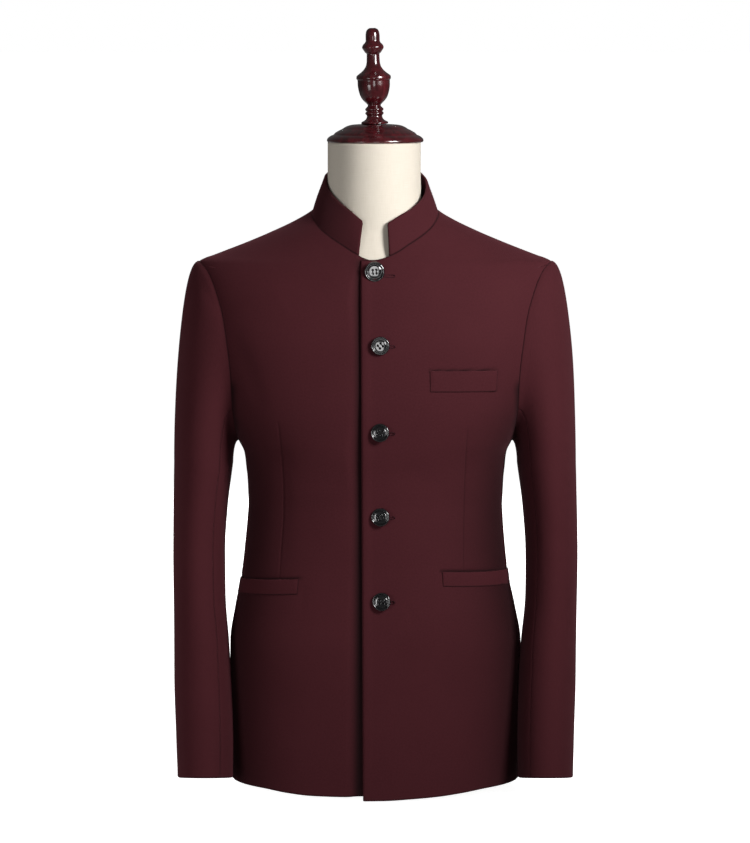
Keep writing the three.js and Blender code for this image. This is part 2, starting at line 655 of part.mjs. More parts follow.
[['left', 1], ['right', -1]].forEach(([hand, side]) => {
  const layer = hand === 'left' ? 'over' : 'under';
  add(garment, `front_${hand}`, frontPanel(side, layer), FINISH.suiting);
  add(garment, `side_${hand}`, sidePanel(side), FINISH.suiting);
  add(garment, `back_${hand}`, backPanel(side), FINISH.suiting);
  add(garment, `top_sleeve_${hand}`, sleevePiece(side, topTurns), FINISH.suiting);
  add(garment, `under_sleeve_${hand}`, sleevePiece(side, bottomTurns), FINISH.suiting);
});
add(garment, 'collar', collar(), FINISH.suiting);
WELTS.forEach((row) => add(garment, row.name, welt(row), FINISH.suiting));

BUTTONS.forEach(({ x, z, radius }, i) => {
  const mesh = add(garment, `button_${i + 1}`, button(radius), FINISH.resin);
  const angle = angleAtX(x, z);
  const normal = bodyNormal(angle, z);
  mesh.position.copy(bodyPoint(angle, z).addScaledVector(normal, BUTTON_STANDOFF));
  mesh.quaternion.setFromUnitVectors(vec(0, 1, 0), normal);
});

add(stand, 'form_body', loft(formSections, FORM_SIDES), FINISH.linen);
add(stand, 'form_base', baseGeometry(), FINISH.wood);
[['neck_cap', CAP_PROFILE, 0], ['neck_finial', FINIAL_PROFILE, FINIAL_LEAN]].forEach(
  ([name, profile, lean]) => {
    const geometry = turned(profile, TURNED_SIDES).rotateX(Math.PI / 2);
    add(stand, name, geometry.rotateY(degrees(lean)), FINISH.wood)
      .position.set(0, NECK_MIDDLE_Y, NECK_TOP);
  },
);

export default new THREE.Group().add(garment, stand);
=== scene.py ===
"""A zhongshan jacket with a standing band collar on a limbless dress form.

The sizes below are in millimetres and become metres where a mesh is made. The front of the
jacket faces -Y and the wearer's left is +X. A point of the jacket's body is named by its angle
round the body (-90 the centre front, 0 the wearer's left side, 90 the centre back) and its
height. Every cloth piece is a thin shell: a grid of points on its outer face, the same grid
moved in by the thickness of the cloth, and a rounded rim between the two.
"""

import logging
import math
from dataclasses import dataclass
from enum import Enum
from typing import Callable

import bpy
import numpy as np
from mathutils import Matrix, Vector


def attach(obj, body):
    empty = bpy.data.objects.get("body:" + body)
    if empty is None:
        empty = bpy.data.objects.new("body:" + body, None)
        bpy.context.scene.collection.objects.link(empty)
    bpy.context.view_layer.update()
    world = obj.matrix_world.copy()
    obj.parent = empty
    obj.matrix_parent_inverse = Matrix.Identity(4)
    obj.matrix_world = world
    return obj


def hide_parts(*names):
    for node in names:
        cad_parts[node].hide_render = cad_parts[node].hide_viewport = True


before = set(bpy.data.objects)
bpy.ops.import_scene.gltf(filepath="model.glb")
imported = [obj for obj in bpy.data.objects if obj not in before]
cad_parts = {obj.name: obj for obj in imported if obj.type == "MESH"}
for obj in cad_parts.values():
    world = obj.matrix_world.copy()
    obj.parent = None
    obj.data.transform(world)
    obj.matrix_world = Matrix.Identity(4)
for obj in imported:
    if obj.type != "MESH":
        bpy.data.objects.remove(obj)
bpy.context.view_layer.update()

LOG = logging.getLogger("jacket")
Array = np.ndarray
Material = bpy.types.Material
Piece = bpy.types.Object
Socket = bpy.types.NodeSocket
Surface = Callable[[Array, Array], Array]
EdgeShape = Callable[[Array], Array]
Numbers = tuple[float, ...]
Pair = tuple[float, float]
Triple = tuple[float, float, float]
Rows = tuple[Numbers, ...]

# ---- sizes

MM_PER_M = 1000.0
TINY = 1e-9
CLOTH = 2.0
SEAM_GAP = 0.1
HEM_HEIGHT = 12.5
UNDERARM = 428.5
SHOULDER_POINT = 643.5
NECK_POINT = 709.5
CLOSURE_TOP = 652.0
CLOSURE_EDGE = (-14.0, -17.0)
CHEST_ROW = 598.0
BACK_ROW = 640.0
CUFF_HEIGHT = 20.5
SLEEVE_TOP_RING = 400.0
NECK_TOP = 789.5
NECK_MIDDLE_Y = -8.0
FINIAL_LEAN = -1.4
TURNED_SIDES = 96


@dataclass(frozen=True)
class Table:
    """Rows of named sizes against a key, read on a smooth curve that never overshoots."""

    columns: tuple[str, ...]
    rows: Rows

    def at(self, column: str, key: Array | float) -> Array:
        """The value of a column between the rows, on a monotone cubic.

        The slope at a row is the harmonic mean of the two spans' slopes, or 0 at a turn.

        Args:
            column: name of the size.
            key: places to read it at.

        Returns:
            The size at each place.
        """
        grid = np.asarray(self.rows, float)
        x, y = grid[:, 0], grid[:, self.columns.index(column)]
        at = np.clip(np.asarray(key, float), x[0], x[-1])
        i = np.clip(np.searchsorted(x, at, side="right") - 1, 0, len(x) - 2)
        width = np.diff(x)
        rise = np.diff(y) / width
        before, after = rise[:-1], rise[1:]
        total = np.where(before * after > 0, before + after, 1.0)
        middle = np.where(before * after > 0, 2 * before * after / total, 0.0)
        slope = np.concatenate([rise[:1], middle, rise[-1:]])
        t = (at - x[i]) / width[i]
        step = y[i] + (y[i + 1] - y[i]) * t * t * (3 - 2 * t)
        return step + width[i] * t * (1 - t) * (slope[i] * (1 - t) - slope[i + 1] * t)


BODY = Table(
    ("z", "half", "front", "back", "power"),
    (
        (0, 176.8, 119, 113, 2.3), (90, 178.2, 121, 117, 2.3), (180, 178.4, 120, 118, 2.3),
        (225, 171.5, 117, 112, 2.3), (262, 163.5, 113.5, 104, 2.3), (295, 159.2, 110.5, 97, 2.3),
        (350, 155.2, 109, 90, 2.35), (380, 155.8, 112, 92, 2.4), (400, 157.6, 115, 96, 2.4),
        (414, 160, 118, 100, 2.42), (430, 167.5, 120.5, 104, 2.45), (480, 187, 124.5, 114, 2.5),
        (540, 201, 121, 121, 2.5), (600, 210, 109, 121, 2.3), (625, 213.8, 102, 115.5, 2.05),
        (640, 215.5, 96, 110.5, 1.78), (645, 214.2, 93.5, 108.5, 1.7), (649, 207.5, 91.5, 107, 1.65),
        (652, 198.8, 89.7, 105.5, 1.62), (658, 183, 86.3, 102.5, 1.6), (667, 160, 81.5, 98, 1.6),
        (681, 126.9, 76.3, 91, 1.62), (696, 95.4, 71, 84, 1.64), (706.5, 78, 68, 79.5, 1.66),
        (712, 72, 66, 77, 1.7), (735, 63, 60, 65, 2.0),
    ),
)
HEM = Table(
    ("angle", "over", "under"),
    (
        (-98, 2.2, 7.8), (-84, 2.6, 7.6), (-70, 4.2, 7), (-55, 6.3, 7.2), (-43, 9, 9),
        (-31, 11.8, 11.8), (-16, HEM_HEIGHT, HEM_HEIGHT), (-8, HEM_HEIGHT, HEM_HEIGHT),
    ),
)
NECKLINE = Table(
    ("angle", "z"),
    (
        (-105, 652), (-90, 652.5), (-77, 658), (-60, 671), (-40, 686.5), (-25, 697.5),
        (0, NECK_POINT), (30, 719), (60, 729), (90, 733),
    ),
)
COLLAR_TOP = Table(
    ("angle", "left", "right"),
    (
        (-80, 694.5, 696), (-65, 704.5, 709.5), (-51, 712, 719), (-43, 716.5, 724),
        (-22, 727.5, 736), (0, 741, 748), (20, 750.5, 753.5), (45, 762, 762), (90, 770, 770),
    ),
)
SLEEVE = Table(
    ("z", "x", "y", "half_x", "half_y", "tilt"),
    (
        (CUFF_HEIGHT, 206.9, -61, 33.5, 54, 10), (70, 207.6, -52, 34.7, 55, 10),
        (120, 209.2, -43, 34.9, 56, 9.5), (180, 211.2, -32, 34.1, 58, 9),
        (240, 214.3, -21, 31.9, 60, 7.5), (295, 215.0, -12.5, 31.6, 62.5, 5.5),
        (345, 213.3, -6.5, 32.9, 66, 3), (SLEEVE_TOP_RING, 209.2, -2, 35.8, 70, 0),
    ),
)
FRONT_TURN, BACK_TURN = -170.0, 121.0
SLEEVE_FRONT_TURN = -127.5


# ---- small mathematics


def unit(vectors: Array) -> Array:
    """The vectors at length one; a vector of no length stays as it is."""
    length = np.linalg.norm(vectors, axis=-1, keepdims=True)
    return vectors / np.maximum(length, TINY)


def smooth_step(x: Array, low: float, high: float) -> Array:
    """From 0 at low to 1 at high, by 3t^2 - 2t^3."""
    t = np.clip((x - low) / (high - low), 0, 1)
    return t * t * (3 - 2 * t)


def hump(distance: Array, width: float) -> Array:
    """A bell of height 1: e to the power of minus (distance / width) squared."""
    return np.exp(-((distance / width) ** 2))


def oval_point(
    half: Array, front: Array, back: Array, power: Array, angle: Array, z: Array, shift: Array = 0.0
) -> Array:
    """A point on a level oval: radius = (|cos/half|^p + |sin/depth|^p)^(-1/p).

    Args:
        half: half width.
        front: depth towards -Y.
        back: depth towards +Y.
        power: 2 is an ellipse, more is squarer.
        angle: degrees from +X.
        z: height.
        shift: sideways place of the oval's middle.

    Returns:
        Points, with x, y and z on the last axis.
    """
    turn = np.radians(angle)
    c, s = np.cos(turn), np.sin(turn)
    depth = np.where(s < 0, front, back)
    radius = (np.abs(c / half) ** power + np.abs(s / depth) ** power) ** (-1 / power)
    return np.stack(np.broadcast_arrays(radius * c + shift, radius * s, z), axis=-1)


def normal_of(surface: Surface, u: Array, v: Array, du: float, dv: float) -> Array:
    """The outward normal of a surface: the cross product of its two central differences."""
    along_u = surface(u + du, v) - surface(u - du, v)
    along_v = surface(u, v + dv) - surface(u, v - dv)
    return unit(np.cross(along_u, along_v))


def shares(length: float, pitch: float, near: Numbers = (0.7, 1.5, 2.6, 4.0, 6.0)) -> Array:
    """Places from 0 to 1 along a length, closer together near both ends.

    Args:
        length: length in millimetres.
        pitch: spacing away from the ends.
        near: distances from an end that get a place of their own.

    Returns:
        The places as shares of the length.
    """
    ends = np.asarray((0.0,) + near)
    count = max(int(round((length - 2 * near[-1]) / pitch)), 1)
    middle = np.linspace(near[-1], length - near[-1], count + 1)[1:-1]
    return np.concatenate([ends, middle, length - ends[::-1]]) / length


def along(points: Array, axis: int) -> Array:
    """Distance along a grid's lines from their first point, by adding up the steps."""
    step = np.linalg.norm(np.diff(points, axis=axis), axis=-1)
    start = np.zeros_like(np.take(step, [0], axis=axis))
    return np.concatenate([start, np.cumsum(step, axis=axis)], axis=axis)


# ---- meshes


def make_object(
    name: str,
    points: Array,
    faces: list[Array],
    material: Material,
    uv: Array | None = None,
    cavity: Array | None = None,
) -> Piece:
    """Puts points and faces into a new smooth mesh object at the origin.

    Args:
        name: the piece's name.
        points: places in millimetres.
        faces: arrays of corner numbers, one array for each number of corners.
        material: the piece's finish.
        uv: cloth coordinates in metres, one for each point.
        cavity: painted shade at each point, from 0 to 1: shade in seams and grooves, and where the arms
            and edges shade the cloth.

    Returns:
        The object.
    """
    mesh = bpy.data.meshes.new(name)
    corners = np.concatenate([f.ravel() for f in faces]).astype(np.int32)
    totals = np.concatenate([np.full(len(f), f.shape[1]) for f in faces])
    starts = np.concatenate([[0], np.cumsum(totals)[:-1]]).astype(np.int32)
    mesh.vertices.add(len(points))
    mesh.vertices.foreach_set("co", (points / MM_PER_M).astype(np.float32).ravel())
    mesh.loops.add(len(corners))
    mesh.loops.foreach_set("vertex_index", corners)
    mesh.polygons.add(len(totals))
    mesh.polygons.foreach_set("loop_start", starts)
    mesh.polygons.foreach_set("use_smooth", np.ones(len(totals), bool))
    mesh.update(calc_edges=True)
    if uv is not None:
        layer = mesh.uv_layers.new(name="cloth")
        layer.data.foreach_set("uv", uv[corners].astype(np.float32).ravel())
    # painted shade: stored on each point for the cloth's material to darken by
    if cavity is not None:
        store = mesh.attributes.new("cavity", "FLOAT", "POINT")
        store.data.foreach_set("value", cavity.astype(np.float32))
    mesh.materials.append(material)
    made = bpy.data.objects.new(name, mesh)
    bpy.context.scene.collection.objects.link(made)
    return made


def grid_faces(index: Array) -> Array:
    """The four-cornered faces of a grid of point numbers, facing out as columns turn and rows rise."""
    corners = (index[:-1, :-1], index[:-1, 1:], index[1:, 1:], index[1:, :-1])
    return np.stack([c.ravel() for c in corners], axis=-1)


@dataclass(frozen=True)
class Rim:
    """How far a shell's rim rounds out past its four edges."""

    bottom: float = 0.8
    right: float = 0.05
    top: float = 0.05
    left: float = 0.05
    rings: int = 3


def shell(
    name: str,
    outer: Array,
    inner: Array,
    rim: Rim,
    material: Material,
    uv: Array,
    cavity: Array,
    side: int = 1,
) -> Piece:
    """A closed shell between an outer and an inner grid, with a rounded rim.

    A rim ring at share s is the mix of the two borders plus sin(pi s) times the bulge, away
    from the cloth.

    Args:
        name: the piece's name.
        outer: outer grid of points, rows rising.
        inner: inner grid.
        rim: roundness of the four edges.
        material: the finish.
        uv: cloth coordinates on the grid, in metres.
        cavity: painted shade on the grid, from 0 to 1.
        side: 1, or -1 for the mirror image.

    Returns:
        The object.
    """
    rows, columns = outer.shape[:2]
    index = np.arange(rows * columns).reshape(rows, columns)
    border = np.concatenate([index[0, :-1], index[:-1, -1], index[-1, :0:-1], index[:0:-1, 0]])
    away, size = np.zeros_like(outer), np.zeros((rows, columns))
    for place, beside, bulge in (
        (np.s_[:, 0], np.s_[:, 1], rim.left),
        (np.s_[:, -1], np.s_[:, -2], rim.right),
        (np.s_[0], np.s_[1], rim.bottom),
        (np.s_[-1], np.s_[-2], rim.top),
    ):
        away[place] += unit(outer[place] - outer[beside])
        size[place] = bulge
    away = unit(away).reshape(-1, 3)[border]
    size = size.ravel()[border][:, None]
    first, last = outer.reshape(-1, 3)[border], inner.reshape(-1, 3)[border]
    ring_shares = np.arange(1, rim.rings + 1) / (rim.rings + 1)
    rings = [first * (1 - s) + last * s + math.sin(math.pi * s) * size * away for s in ring_shares]
    points = np.concatenate([outer.reshape(-1, 3), inner.reshape(-1, 3), *rings])
    count = rows * columns
    loops = [border, *(2 * count + k * len(border) + np.arange(len(border)) for k in range(rim.rings))]
    loops.append(border + count)
    faces = [grid_faces(index), grid_faces(index + count)[:, ::-1]]
    for near, far in zip(loops[:-1], loops[1:]):
        faces.append(np.stack([far, np.roll(far, -1), np.roll(near, -1), near], axis=-1))
    joined = np.concatenate(faces)
    if side < 0:
        points = points * (-1, 1, 1)
        joined = joined[:, ::-1]
    source = np.concatenate([np.tile(np.arange(count), 2), np.tile(border, rim.rings)])
    return make_object(name, points, [joined], material, uv.reshape(-1, 2)[source], cavity.ravel()[source])


def closed_surface(
    name: str, grid: Array, material: Material, uv: Array | None = None
) -> Piece:
    """A closed form from level rings, closed with a point at each end.

    Args:
        name: the piece's name.
        grid: rings of points from the bottom up; the first and last ring are poles.
        material: the finish.
        uv: coordinates on the rings, in metres.

    Returns:
        The object.
    """
    rings, sides = grid.shape[0] - 2, grid.shape[1]
    index = np.arange(rings * sides).reshape(rings, sides)
    wrapped = np.concatenate([index, index[:, :1]], axis=1)
    low, high = rings * sides, rings * sides + 1
    ring, after = index[0], np.roll(index[0], -1)
    bottom = np.stack([np.full(sides, low), after, ring], axis=-1)
    ring, after = index[-1], np.roll(index[-1], -1)
    top = np.stack([np.full(sides, high), ring, after], axis=-1)
    points = np.concatenate([grid[1:-1].reshape(-1, 3), grid[0, :1], grid[-1, :1]])
    uv_all = None
    if uv is not None:
        uv_all = np.concatenate([uv[1:-1].reshape(-1, 2), uv[0, :1], uv[-1, :1]])
    return make_object(name, points, [grid_faces(wrapped), bottom, top], material, uv_all)


TUBE_UP = np.array([0.03, 1.0, 0.05])


def tube(path: Array, radius: Array, sides: int, closed: bool) -> tuple[Array, Array]:
    """A round tube along a path: each ring is the path's point plus radius times cos and sin.

    Args:
        path: points of the centre line.
        radius: radius at each of them.
        sides: points round the tube.
        closed: whether the last point joins the first.

    Returns:
        The points, and the four-cornered faces.
    """
    if closed:
        tangent = unit(np.roll(path, -1, axis=0) - np.roll(path, 1, axis=0))
    else:
        tangent = unit(np.gradient(path, axis=0))
    across = unit(np.cross(tangent, TUBE_UP))
    up = np.cross(across, tangent)
    turn = np.linspace(0, 2 * np.pi, sides, endpoint=False)
    ring = np.cos(turn)[None, :, None] * across[:, None] + np.sin(turn)[None, :, None] * up[:, None]
    points = path[:, None] + radius[:, None, None] * ring
    index = np.arange(points.shape[0] * sides).reshape(-1, sides)
    if closed:
        index = np.concatenate([index, index[:1]])
    index = np.concatenate([index, index[:, :1]], axis=1)
    return points.reshape(-1, 3), grid_faces(index)[:, ::-1]


# ---- finishes


class Nodes:
    """A material under construction, with short ways to add and join its nodes."""

    def __init__(self, name: str) -> None:
        """Starts a material that has a surface shader and an output."""
        self.material = bpy.data.materials.new(name)
        self.material.use_nodes = True
        self.tree = self.material.node_tree
        self.shader = next(n for n in self.tree.nodes if n.type == "BSDF_PRINCIPLED")

    def add(self, kind: str, inputs: dict | None = None, **settings: object) -> bpy.types.Node:
        """Adds a node.

        Args:
            kind: the node's type name.
            inputs: for each input, a value or an output to join to it.
            settings: the node's own settings.

        Returns:
            The node.
        """
        node = self.tree.nodes.new(kind)
        for key, value in settings.items():
            setattr(node, key, value)
        self.feed(node, inputs or {})
        return node

    def feed(self, node: bpy.types.Node, inputs: dict) -> None:
        """Sets or joins a node's inputs."""
        for key, value in inputs.items():
            if isinstance(value, Socket):
                self.tree.links.new(value, node.inputs[key])
            else:
                node.inputs[key].default_value = value

    def mix(self, factor: object, first: object, second: object) -> Socket:
        """A colour between two others; returns the result's output."""
        node = self.add("ShaderNodeMix", data_type="RGBA")
        self.feed(node, {0: factor, 6: first, 7: second})
        return node.outputs[2]

    def place(self) -> Socket:
        """The object's own coordinates."""
        return self.add("ShaderNodeTexCoord").outputs["Object"]

    def stretched(self, place: Socket, scale: tuple) -> Socket:
        """Coordinates scaled along x, y and z."""
        return self.add("ShaderNodeMapping", {"Vector": place, "Scale": scale}).outputs[0]

    def noise(
        self, place: Socket, scale: float, detail: float = 2.0, distortion: float = 0.0
    ) -> Socket:
        """A noise texture's value at a place."""
        inputs = {"Vector": place, "Scale": scale, "Detail": detail, "Distortion": distortion}
        return self.add("ShaderNodeTexNoise", inputs).outputs["Fac"]

    def wave(
        self, place: Socket, scale: float, distortion: float, detail: float, direction: str
    ) -> Socket:
        """The value of a banded wave texture that runs in a direction."""
        inputs = {"Vector": place, "Scale": scale, "Distortion": distortion, "Detail": detail}
        node = self.add("ShaderNodeTexWave", inputs, wave_type="BANDS", bands_direction=direction)
        return node.outputs["Fac"]

    def span(
        self, value: Socket, low: float, high: float, to_low: float = 0.0, to_high: float = 1.0
    ) -> Socket:
        """A value carried from one range to another and kept inside it."""
        node = self.add(
            "ShaderNodeMapRange",
            {"Value": value, "From Min": low, "From Max": high, "To Min": to_low, "To Max": to_high},
        )
        return node.outputs[0]

    def math(self, operation: str, first: object, second: object) -> Socket:
        """The result of an arithmetic node on two values."""
        node = self.add("ShaderNodeMath", operation=operation)
        self.feed(node, {0: first, 1: second})
        return node.outputs[0]

    def bump(self, height: Socket, strength: float, distance: float) -> None:
        """Feeds a height into the shader's normal."""
        node = self.add("ShaderNodeBump", {"Height": height, "Strength": strength, "Distance": distance})
        self.feed(self.shader, {"Normal": node.outputs[0]})


def colour(red: float, green: float, blue: float) -> Numbers:
    """A colour with full opacity."""
    return (red, green, blue, 1.0)


NOISE_SPAN = (0.35, 0.65)
CLOTH_BUMP = 0.35


@dataclass(frozen=True)
class Suiting:
    """Fine worsted twill with a soft nap, darkened by painted shade in its seams, grooves and shaded
    places.
    """

    name: str = "burgundy_suiting"
    ground: tuple = (0.0605, 0.0120, 0.0160)
    shade: tuple = (0.0495, 0.0092, 0.0125)
    twill_scale: float = 500.0
    nap_scale: float = 420.0
    twill_bend: float = 0.6
    cloud_scale: float = 9.0
    cloud_share: float = 0.4
    twill_share: float = 0.22
    twill_tone: float = 0.7
    # painted shade: how far the cloth is darkened, and towards which near-black colour
    painted_shade_strength: float = 0.90
    painted_shade_colour: tuple = (0.004, 0.0012, 0.0015)
    roughness: float = 0.86
    sheen: float = 0.10
    sheen_tint: tuple = (0.85, 0.30, 0.36)
    gloss: float = 0.10
    relief: float = 0.00025

    def material(self) -> Material:
        """Builds the material; the twill follows the cloth's own coordinates."""
        n = Nodes(self.name)
        cloth = n.add("ShaderNodeUVMap", uv_map="cloth").outputs[0]
        twill = n.wave(cloth, self.twill_scale, self.twill_bend, 1.0, "DIAGONAL")
        nap = n.noise(cloth, self.nap_scale, 4.0)
        cloud = n.noise(n.place(), self.cloud_scale, 3.0)
        nap_part = n.math("MULTIPLY", nap, 1 - self.cloud_share)
        blend = n.math("ADD", nap_part, n.math("MULTIPLY", cloud, self.cloud_share))
        base = n.mix(n.span(blend, *NOISE_SPAN), colour(*self.shade), colour(*self.ground))
        dark = colour(*(self.twill_tone * c for c in self.ground))
        base = n.mix(n.math("MULTIPLY", twill, self.twill_share), base, dark)
        # painted shade: the cavity attribute mixes the base colour towards near-black
        cavity = n.add("ShaderNodeAttribute", attribute_name="cavity").outputs["Fac"]
        deep = n.span(cavity, 0.0, 1.0, 0.0, self.painted_shade_strength)
        n.feed(n.shader, {
            "Base Color": n.mix(deep, base, colour(*self.painted_shade_colour)),
            "Roughness": self.roughness, "Sheen Weight": self.sheen, "Sheen Roughness": 0.5,
            "Sheen Tint": colour(*self.sheen_tint), "Specular IOR Level": self.gloss,
        })
        n.bump(n.math("ADD", n.math("MULTIPLY", twill, 0.5), nap), CLOTH_BUMP, self.relief)
        return n.material


@dataclass(frozen=True)
class Linen:
    """Plain-woven natural linen, with slubs along both threads."""

    name: str = "natural_linen"
    ground: tuple = (0.745, 0.682, 0.588)
    shade: tuple = (0.690, 0.625, 0.525)
    thread_scale: float = 620.0
    slub_scales: tuple = ((60.0, 1400.0, 1.0), (1400.0, 60.0, 1.0))
    thread_bend: float = 1.2
    weave_share: float = 0.3
    roughness: float = 0.9
    gloss: float = 0.2
    relief: float = 0.0003

    def material(self) -> Material:
        """Builds the material; its threads follow the form's own coordinates."""
        n = Nodes(self.name)
        cloth = n.add("ShaderNodeUVMap", uv_map="cloth").outputs[0]
        threads = [n.wave(cloth, self.thread_scale, self.thread_bend, 2.0, way) for way in ("X", "Y")]
        slubs = [n.noise(n.stretched(cloth, scale), 1.0, 3.0) for scale in self.slub_scales]
        weave = n.math("MULTIPLY", threads[0], threads[1])
        slub = n.math("ADD", n.math("MULTIPLY", slubs[0], 0.5), n.math("MULTIPLY", slubs[1], 0.5))
        base = n.mix(n.span(slub, *NOISE_SPAN), colour(*self.shade), colour(*self.ground))
        base = n.mix(n.math("MULTIPLY", weave, self.weave_share), base, colour(*self.shade))
        n.feed(n.shader, {
            "Base Color": base, "Roughness": self.roughness, "Specular IOR Level": self.gloss,
        })
        n.bump(n.math("ADD", weave, slub), CLOTH_BUMP, self.relief)
        return n.material


@dataclass(frozen=True)
class PolishedWood:
    """Dark mahogany under a gloss varnish; the grain runs up the turned pieces."""

    name: str = "polished_mahogany"
    ground: tuple = (0.082, 0.0062, 0.0100)
    grain: tuple = (0.030, 0.0026, 0.0042)
    streak_scale: tuple = (55.0, 55.0, 6.0)
    pore_scale: tuple = (900.0, 900.0, 70.0)
    streak_span: Pair = (0.35, 0.68)
    pore_span: Pair = (0.60, 0.75)
    pore_share: float = 0.5
    roughness: Pair = (0.16, 0.26)
    varnish: float = 0.8
    varnish_roughness: float = 0.07

    def material(self) -> Material:
        """Builds the material from stretched noise along the height."""
        n = Nodes(self.name)
        place = n.place()
        streak = n.noise(n.stretched(place, self.streak_scale), 2.2, 7.0, 0.8)
        pore = n.noise(n.stretched(place, self.pore_scale), 1.0)
        base = n.mix(n.span(streak, *self.streak_span), colour(*self.grain), colour(*self.ground))
        base = n.mix(n.span(pore, *self.pore_span, 0.0, self.pore_share), base, colour(*self.grain))
        n.feed(n.shader, {
            "Base Color": base, "Roughness": n.span(streak, 0.3, 0.7, *self.roughness),
            "Coat Weight": self.varnish, "Coat Roughness": self.varnish_roughness,
        })
        n.bump(pore, 0.08, 0.0002)
        return n.material


@dataclass(frozen=True)
class Resin:
    """Cast resin button stock: gloss, nearly black, with faint smoky swirls."""

    name: str = "black_resin"
    ground: tuple = (0.004, 0.004, 0.0045)
    smoke: tuple = (0.009, 0.0085, 0.009)
    swirl_scale: float = 160.0
    scratch_scale: float = 1800.0
    roughness: float = 0.06
    scratched: float = 0.08

    def material(self) -> Material:
        """Builds the material from distorted noise."""
        n = Nodes(self.name)
        place = n.place()
        swirl = n.noise(place, self.swirl_scale, 5.0, 1.6)
        scratch = n.noise(place, self.scratch_scale)
        base = n.mix(n.span(swirl, 0.45, 0.75), colour(*self.ground), colour(*self.smoke))
        rough = n.span(scratch, 0.3, 0.7, self.roughness, self.roughness + self.scratched)
        n.feed(n.shader, {
            "Base Color": base, "Roughness": rough,
            "Coat Weight": 1.0, "Coat Roughness": 0.05, "Specular IOR Level": 0.8,
        })
        n.bump(scratch, 0.04, 0.0001)
        return n.material


@dataclass(frozen=True)
class SewingThread:
    """Twisted thread in one colour."""

    name: str = "burgundy_thread"
    ground: tuple = (0.042, 0.010, 0.014)
    fibre_scale: float = 2600.0
    fibre_tones: Pair = (0.55, 1.3)
    roughness: float = 0.7
    gloss: float = 0.12

    def material(self) -> Material:
        """Builds the material from fine noise for the fibres."""
        n = Nodes(self.name)
        fibre = n.noise(n.place(), self.fibre_scale, 3.0)
        low, high = (colour(*(k * c for c in self.ground)) for k in self.fibre_tones)
        base = n.mix(n.span(fibre, 0.3, 0.7), low, high)
        n.feed(n.shader, {
            "Base Color": base, "Roughness": self.roughness, "Specular IOR Level": self.gloss,
        })
        n.bump(fibre, 0.3, 0.0001)
        return n.material


BLACK_THREAD = (0.012, 0.011, 0.012)


@dataclass(frozen=True)
class StudioFloor:
    """Matt white paper, lit so that it stays pale to its edge."""

    name: str = "white_paper"
    tones: Pair = (0.84, 0.87)
    bounce: float = 0.25
    glow: Pair = (0.03, 0.95)

    def material(self) -> Material:
        """Builds the material with a faint tooth."""
        n = Nodes(self.name)
        low, high, bounce = (colour(tone, tone, tone) for tone in (*self.tones, self.bounce))
        base = n.mix(n.span(n.noise(n.place(), 300.0), 0.4, 0.6), low, high)
        seen = n.add("ShaderNodeLightPath").outputs["Is Camera Ray"]
        n.feed(n.shader, {
            "Base Color": n.mix(seen, bounce, base), "Roughness": 1.0, "Specular IOR Level": 0.0,
            "Emission Color": colour(1, 1, 1), "Emission Strength": n.span(seen, 0.0, 1.0, *self.glow),
        })
        return n.material


# ---- the body surface


@dataclass(frozen=True)
class BodySurface:
    """The smooth outer surface that the jacket's panels are cut from."""

    sections: Table = BODY
    front_angles: Pair = (-175.0, -5.0)
    halvings: int = 40
    hole_reach: Pair = (22.0, 17.0)
    hole_skew: float = 0.1
    normal_steps: Pair = (0.2, 0.4)
    arc_end: int = 110
    arc_top: int = 740
    arc_step: int = 10

    def point(self, angle: Array, z: Array) -> Array:
        """The surface's point at an angle and height."""
        read = self.sections.at
        return oval_point(read("half", z), read("front", z), read("back", z), read("power", z), angle, z)

    def normal(self, angle: Array, z: Array) -> Array:
        """The surface's outward normal."""
        return normal_of(self.point, np.asarray(angle, float), np.asarray(z, float), *self.normal_steps)

    def angle_at_x(self, x: Array, z: Array) -> Array:
        """The angle on the front where the surface is at x, by halving an interval."""
        x, z = np.broadcast_arrays(np.asarray(x, float), np.asarray(z, float))
        low, high = (np.full(x.shape, end) for end in self.front_angles)
        for _ in range(self.halvings):
            middle = (low + high) / 2
            short = self.point(middle, z)[..., 0] < x
            low, high = np.where(short, middle, low), np.where(short, high, middle)
        return (low + high) / 2

    @staticmethod
    def neck_height(angle: Array) -> Array:
        """Height of the neck seam; past the centre back it mirrors."""
        return NECKLINE.at("z", np.where(angle > 90, 180 - angle, angle))

    def armhole(self, turn: Array) -> tuple[Array, Array]:
        """Angle and height of the armhole's outline: a skewed oval, turn 0 at the shoulder."""
        c, s = np.cos(np.radians(turn)), np.sin(np.radians(turn))
        middle = (SHOULDER_POINT + UNDERARM) / 2
        front, back = self.hole_reach
        reach = np.where(s < 0, front * (1 - self.hole_skew * c), back)
        return reach * s, middle + (middle - UNDERARM) * c

    def cloth_map(self, angle: Array, z: Array) -> Array:
        """Cloth coordinates in metres: the arc round the body, and the height.

        The arc is added up on a fine grid of angles and read between its rows and columns.

        Args:
            angle: angles of the points.
            z: their heights.

        Returns:
            Two coordinates for each point.
        """
        end, top, step = self.arc_end, self.arc_top, self.arc_step
        angles, heights = np.linspace(-end, end, 2 * end + 1), np.linspace(0, top, top // step + 1)
        ring = self.point(angles[None, :], heights[:, None])
        arc = along(ring, 1)
        arc -= arc[:, end:end + 1]
        a, h = np.clip(angle, -end, end) + end, np.clip(z, 0, top - 0.1) / step
        i, j = np.clip(h.astype(int), 0, top // step - 1), np.clip(a.astype(int), 0, 2 * end - 1)
        p, q = h - i, a - j
        low = arc[i, j] * (1 - q) + arc[i, j + 1] * q
        high = arc[i + 1, j] * (1 - q) + arc[i + 1, j + 1] * q
        return np.stack([low * (1 - p) + high * p, z], axis=-1) / MM_PER_M


# ---- creases


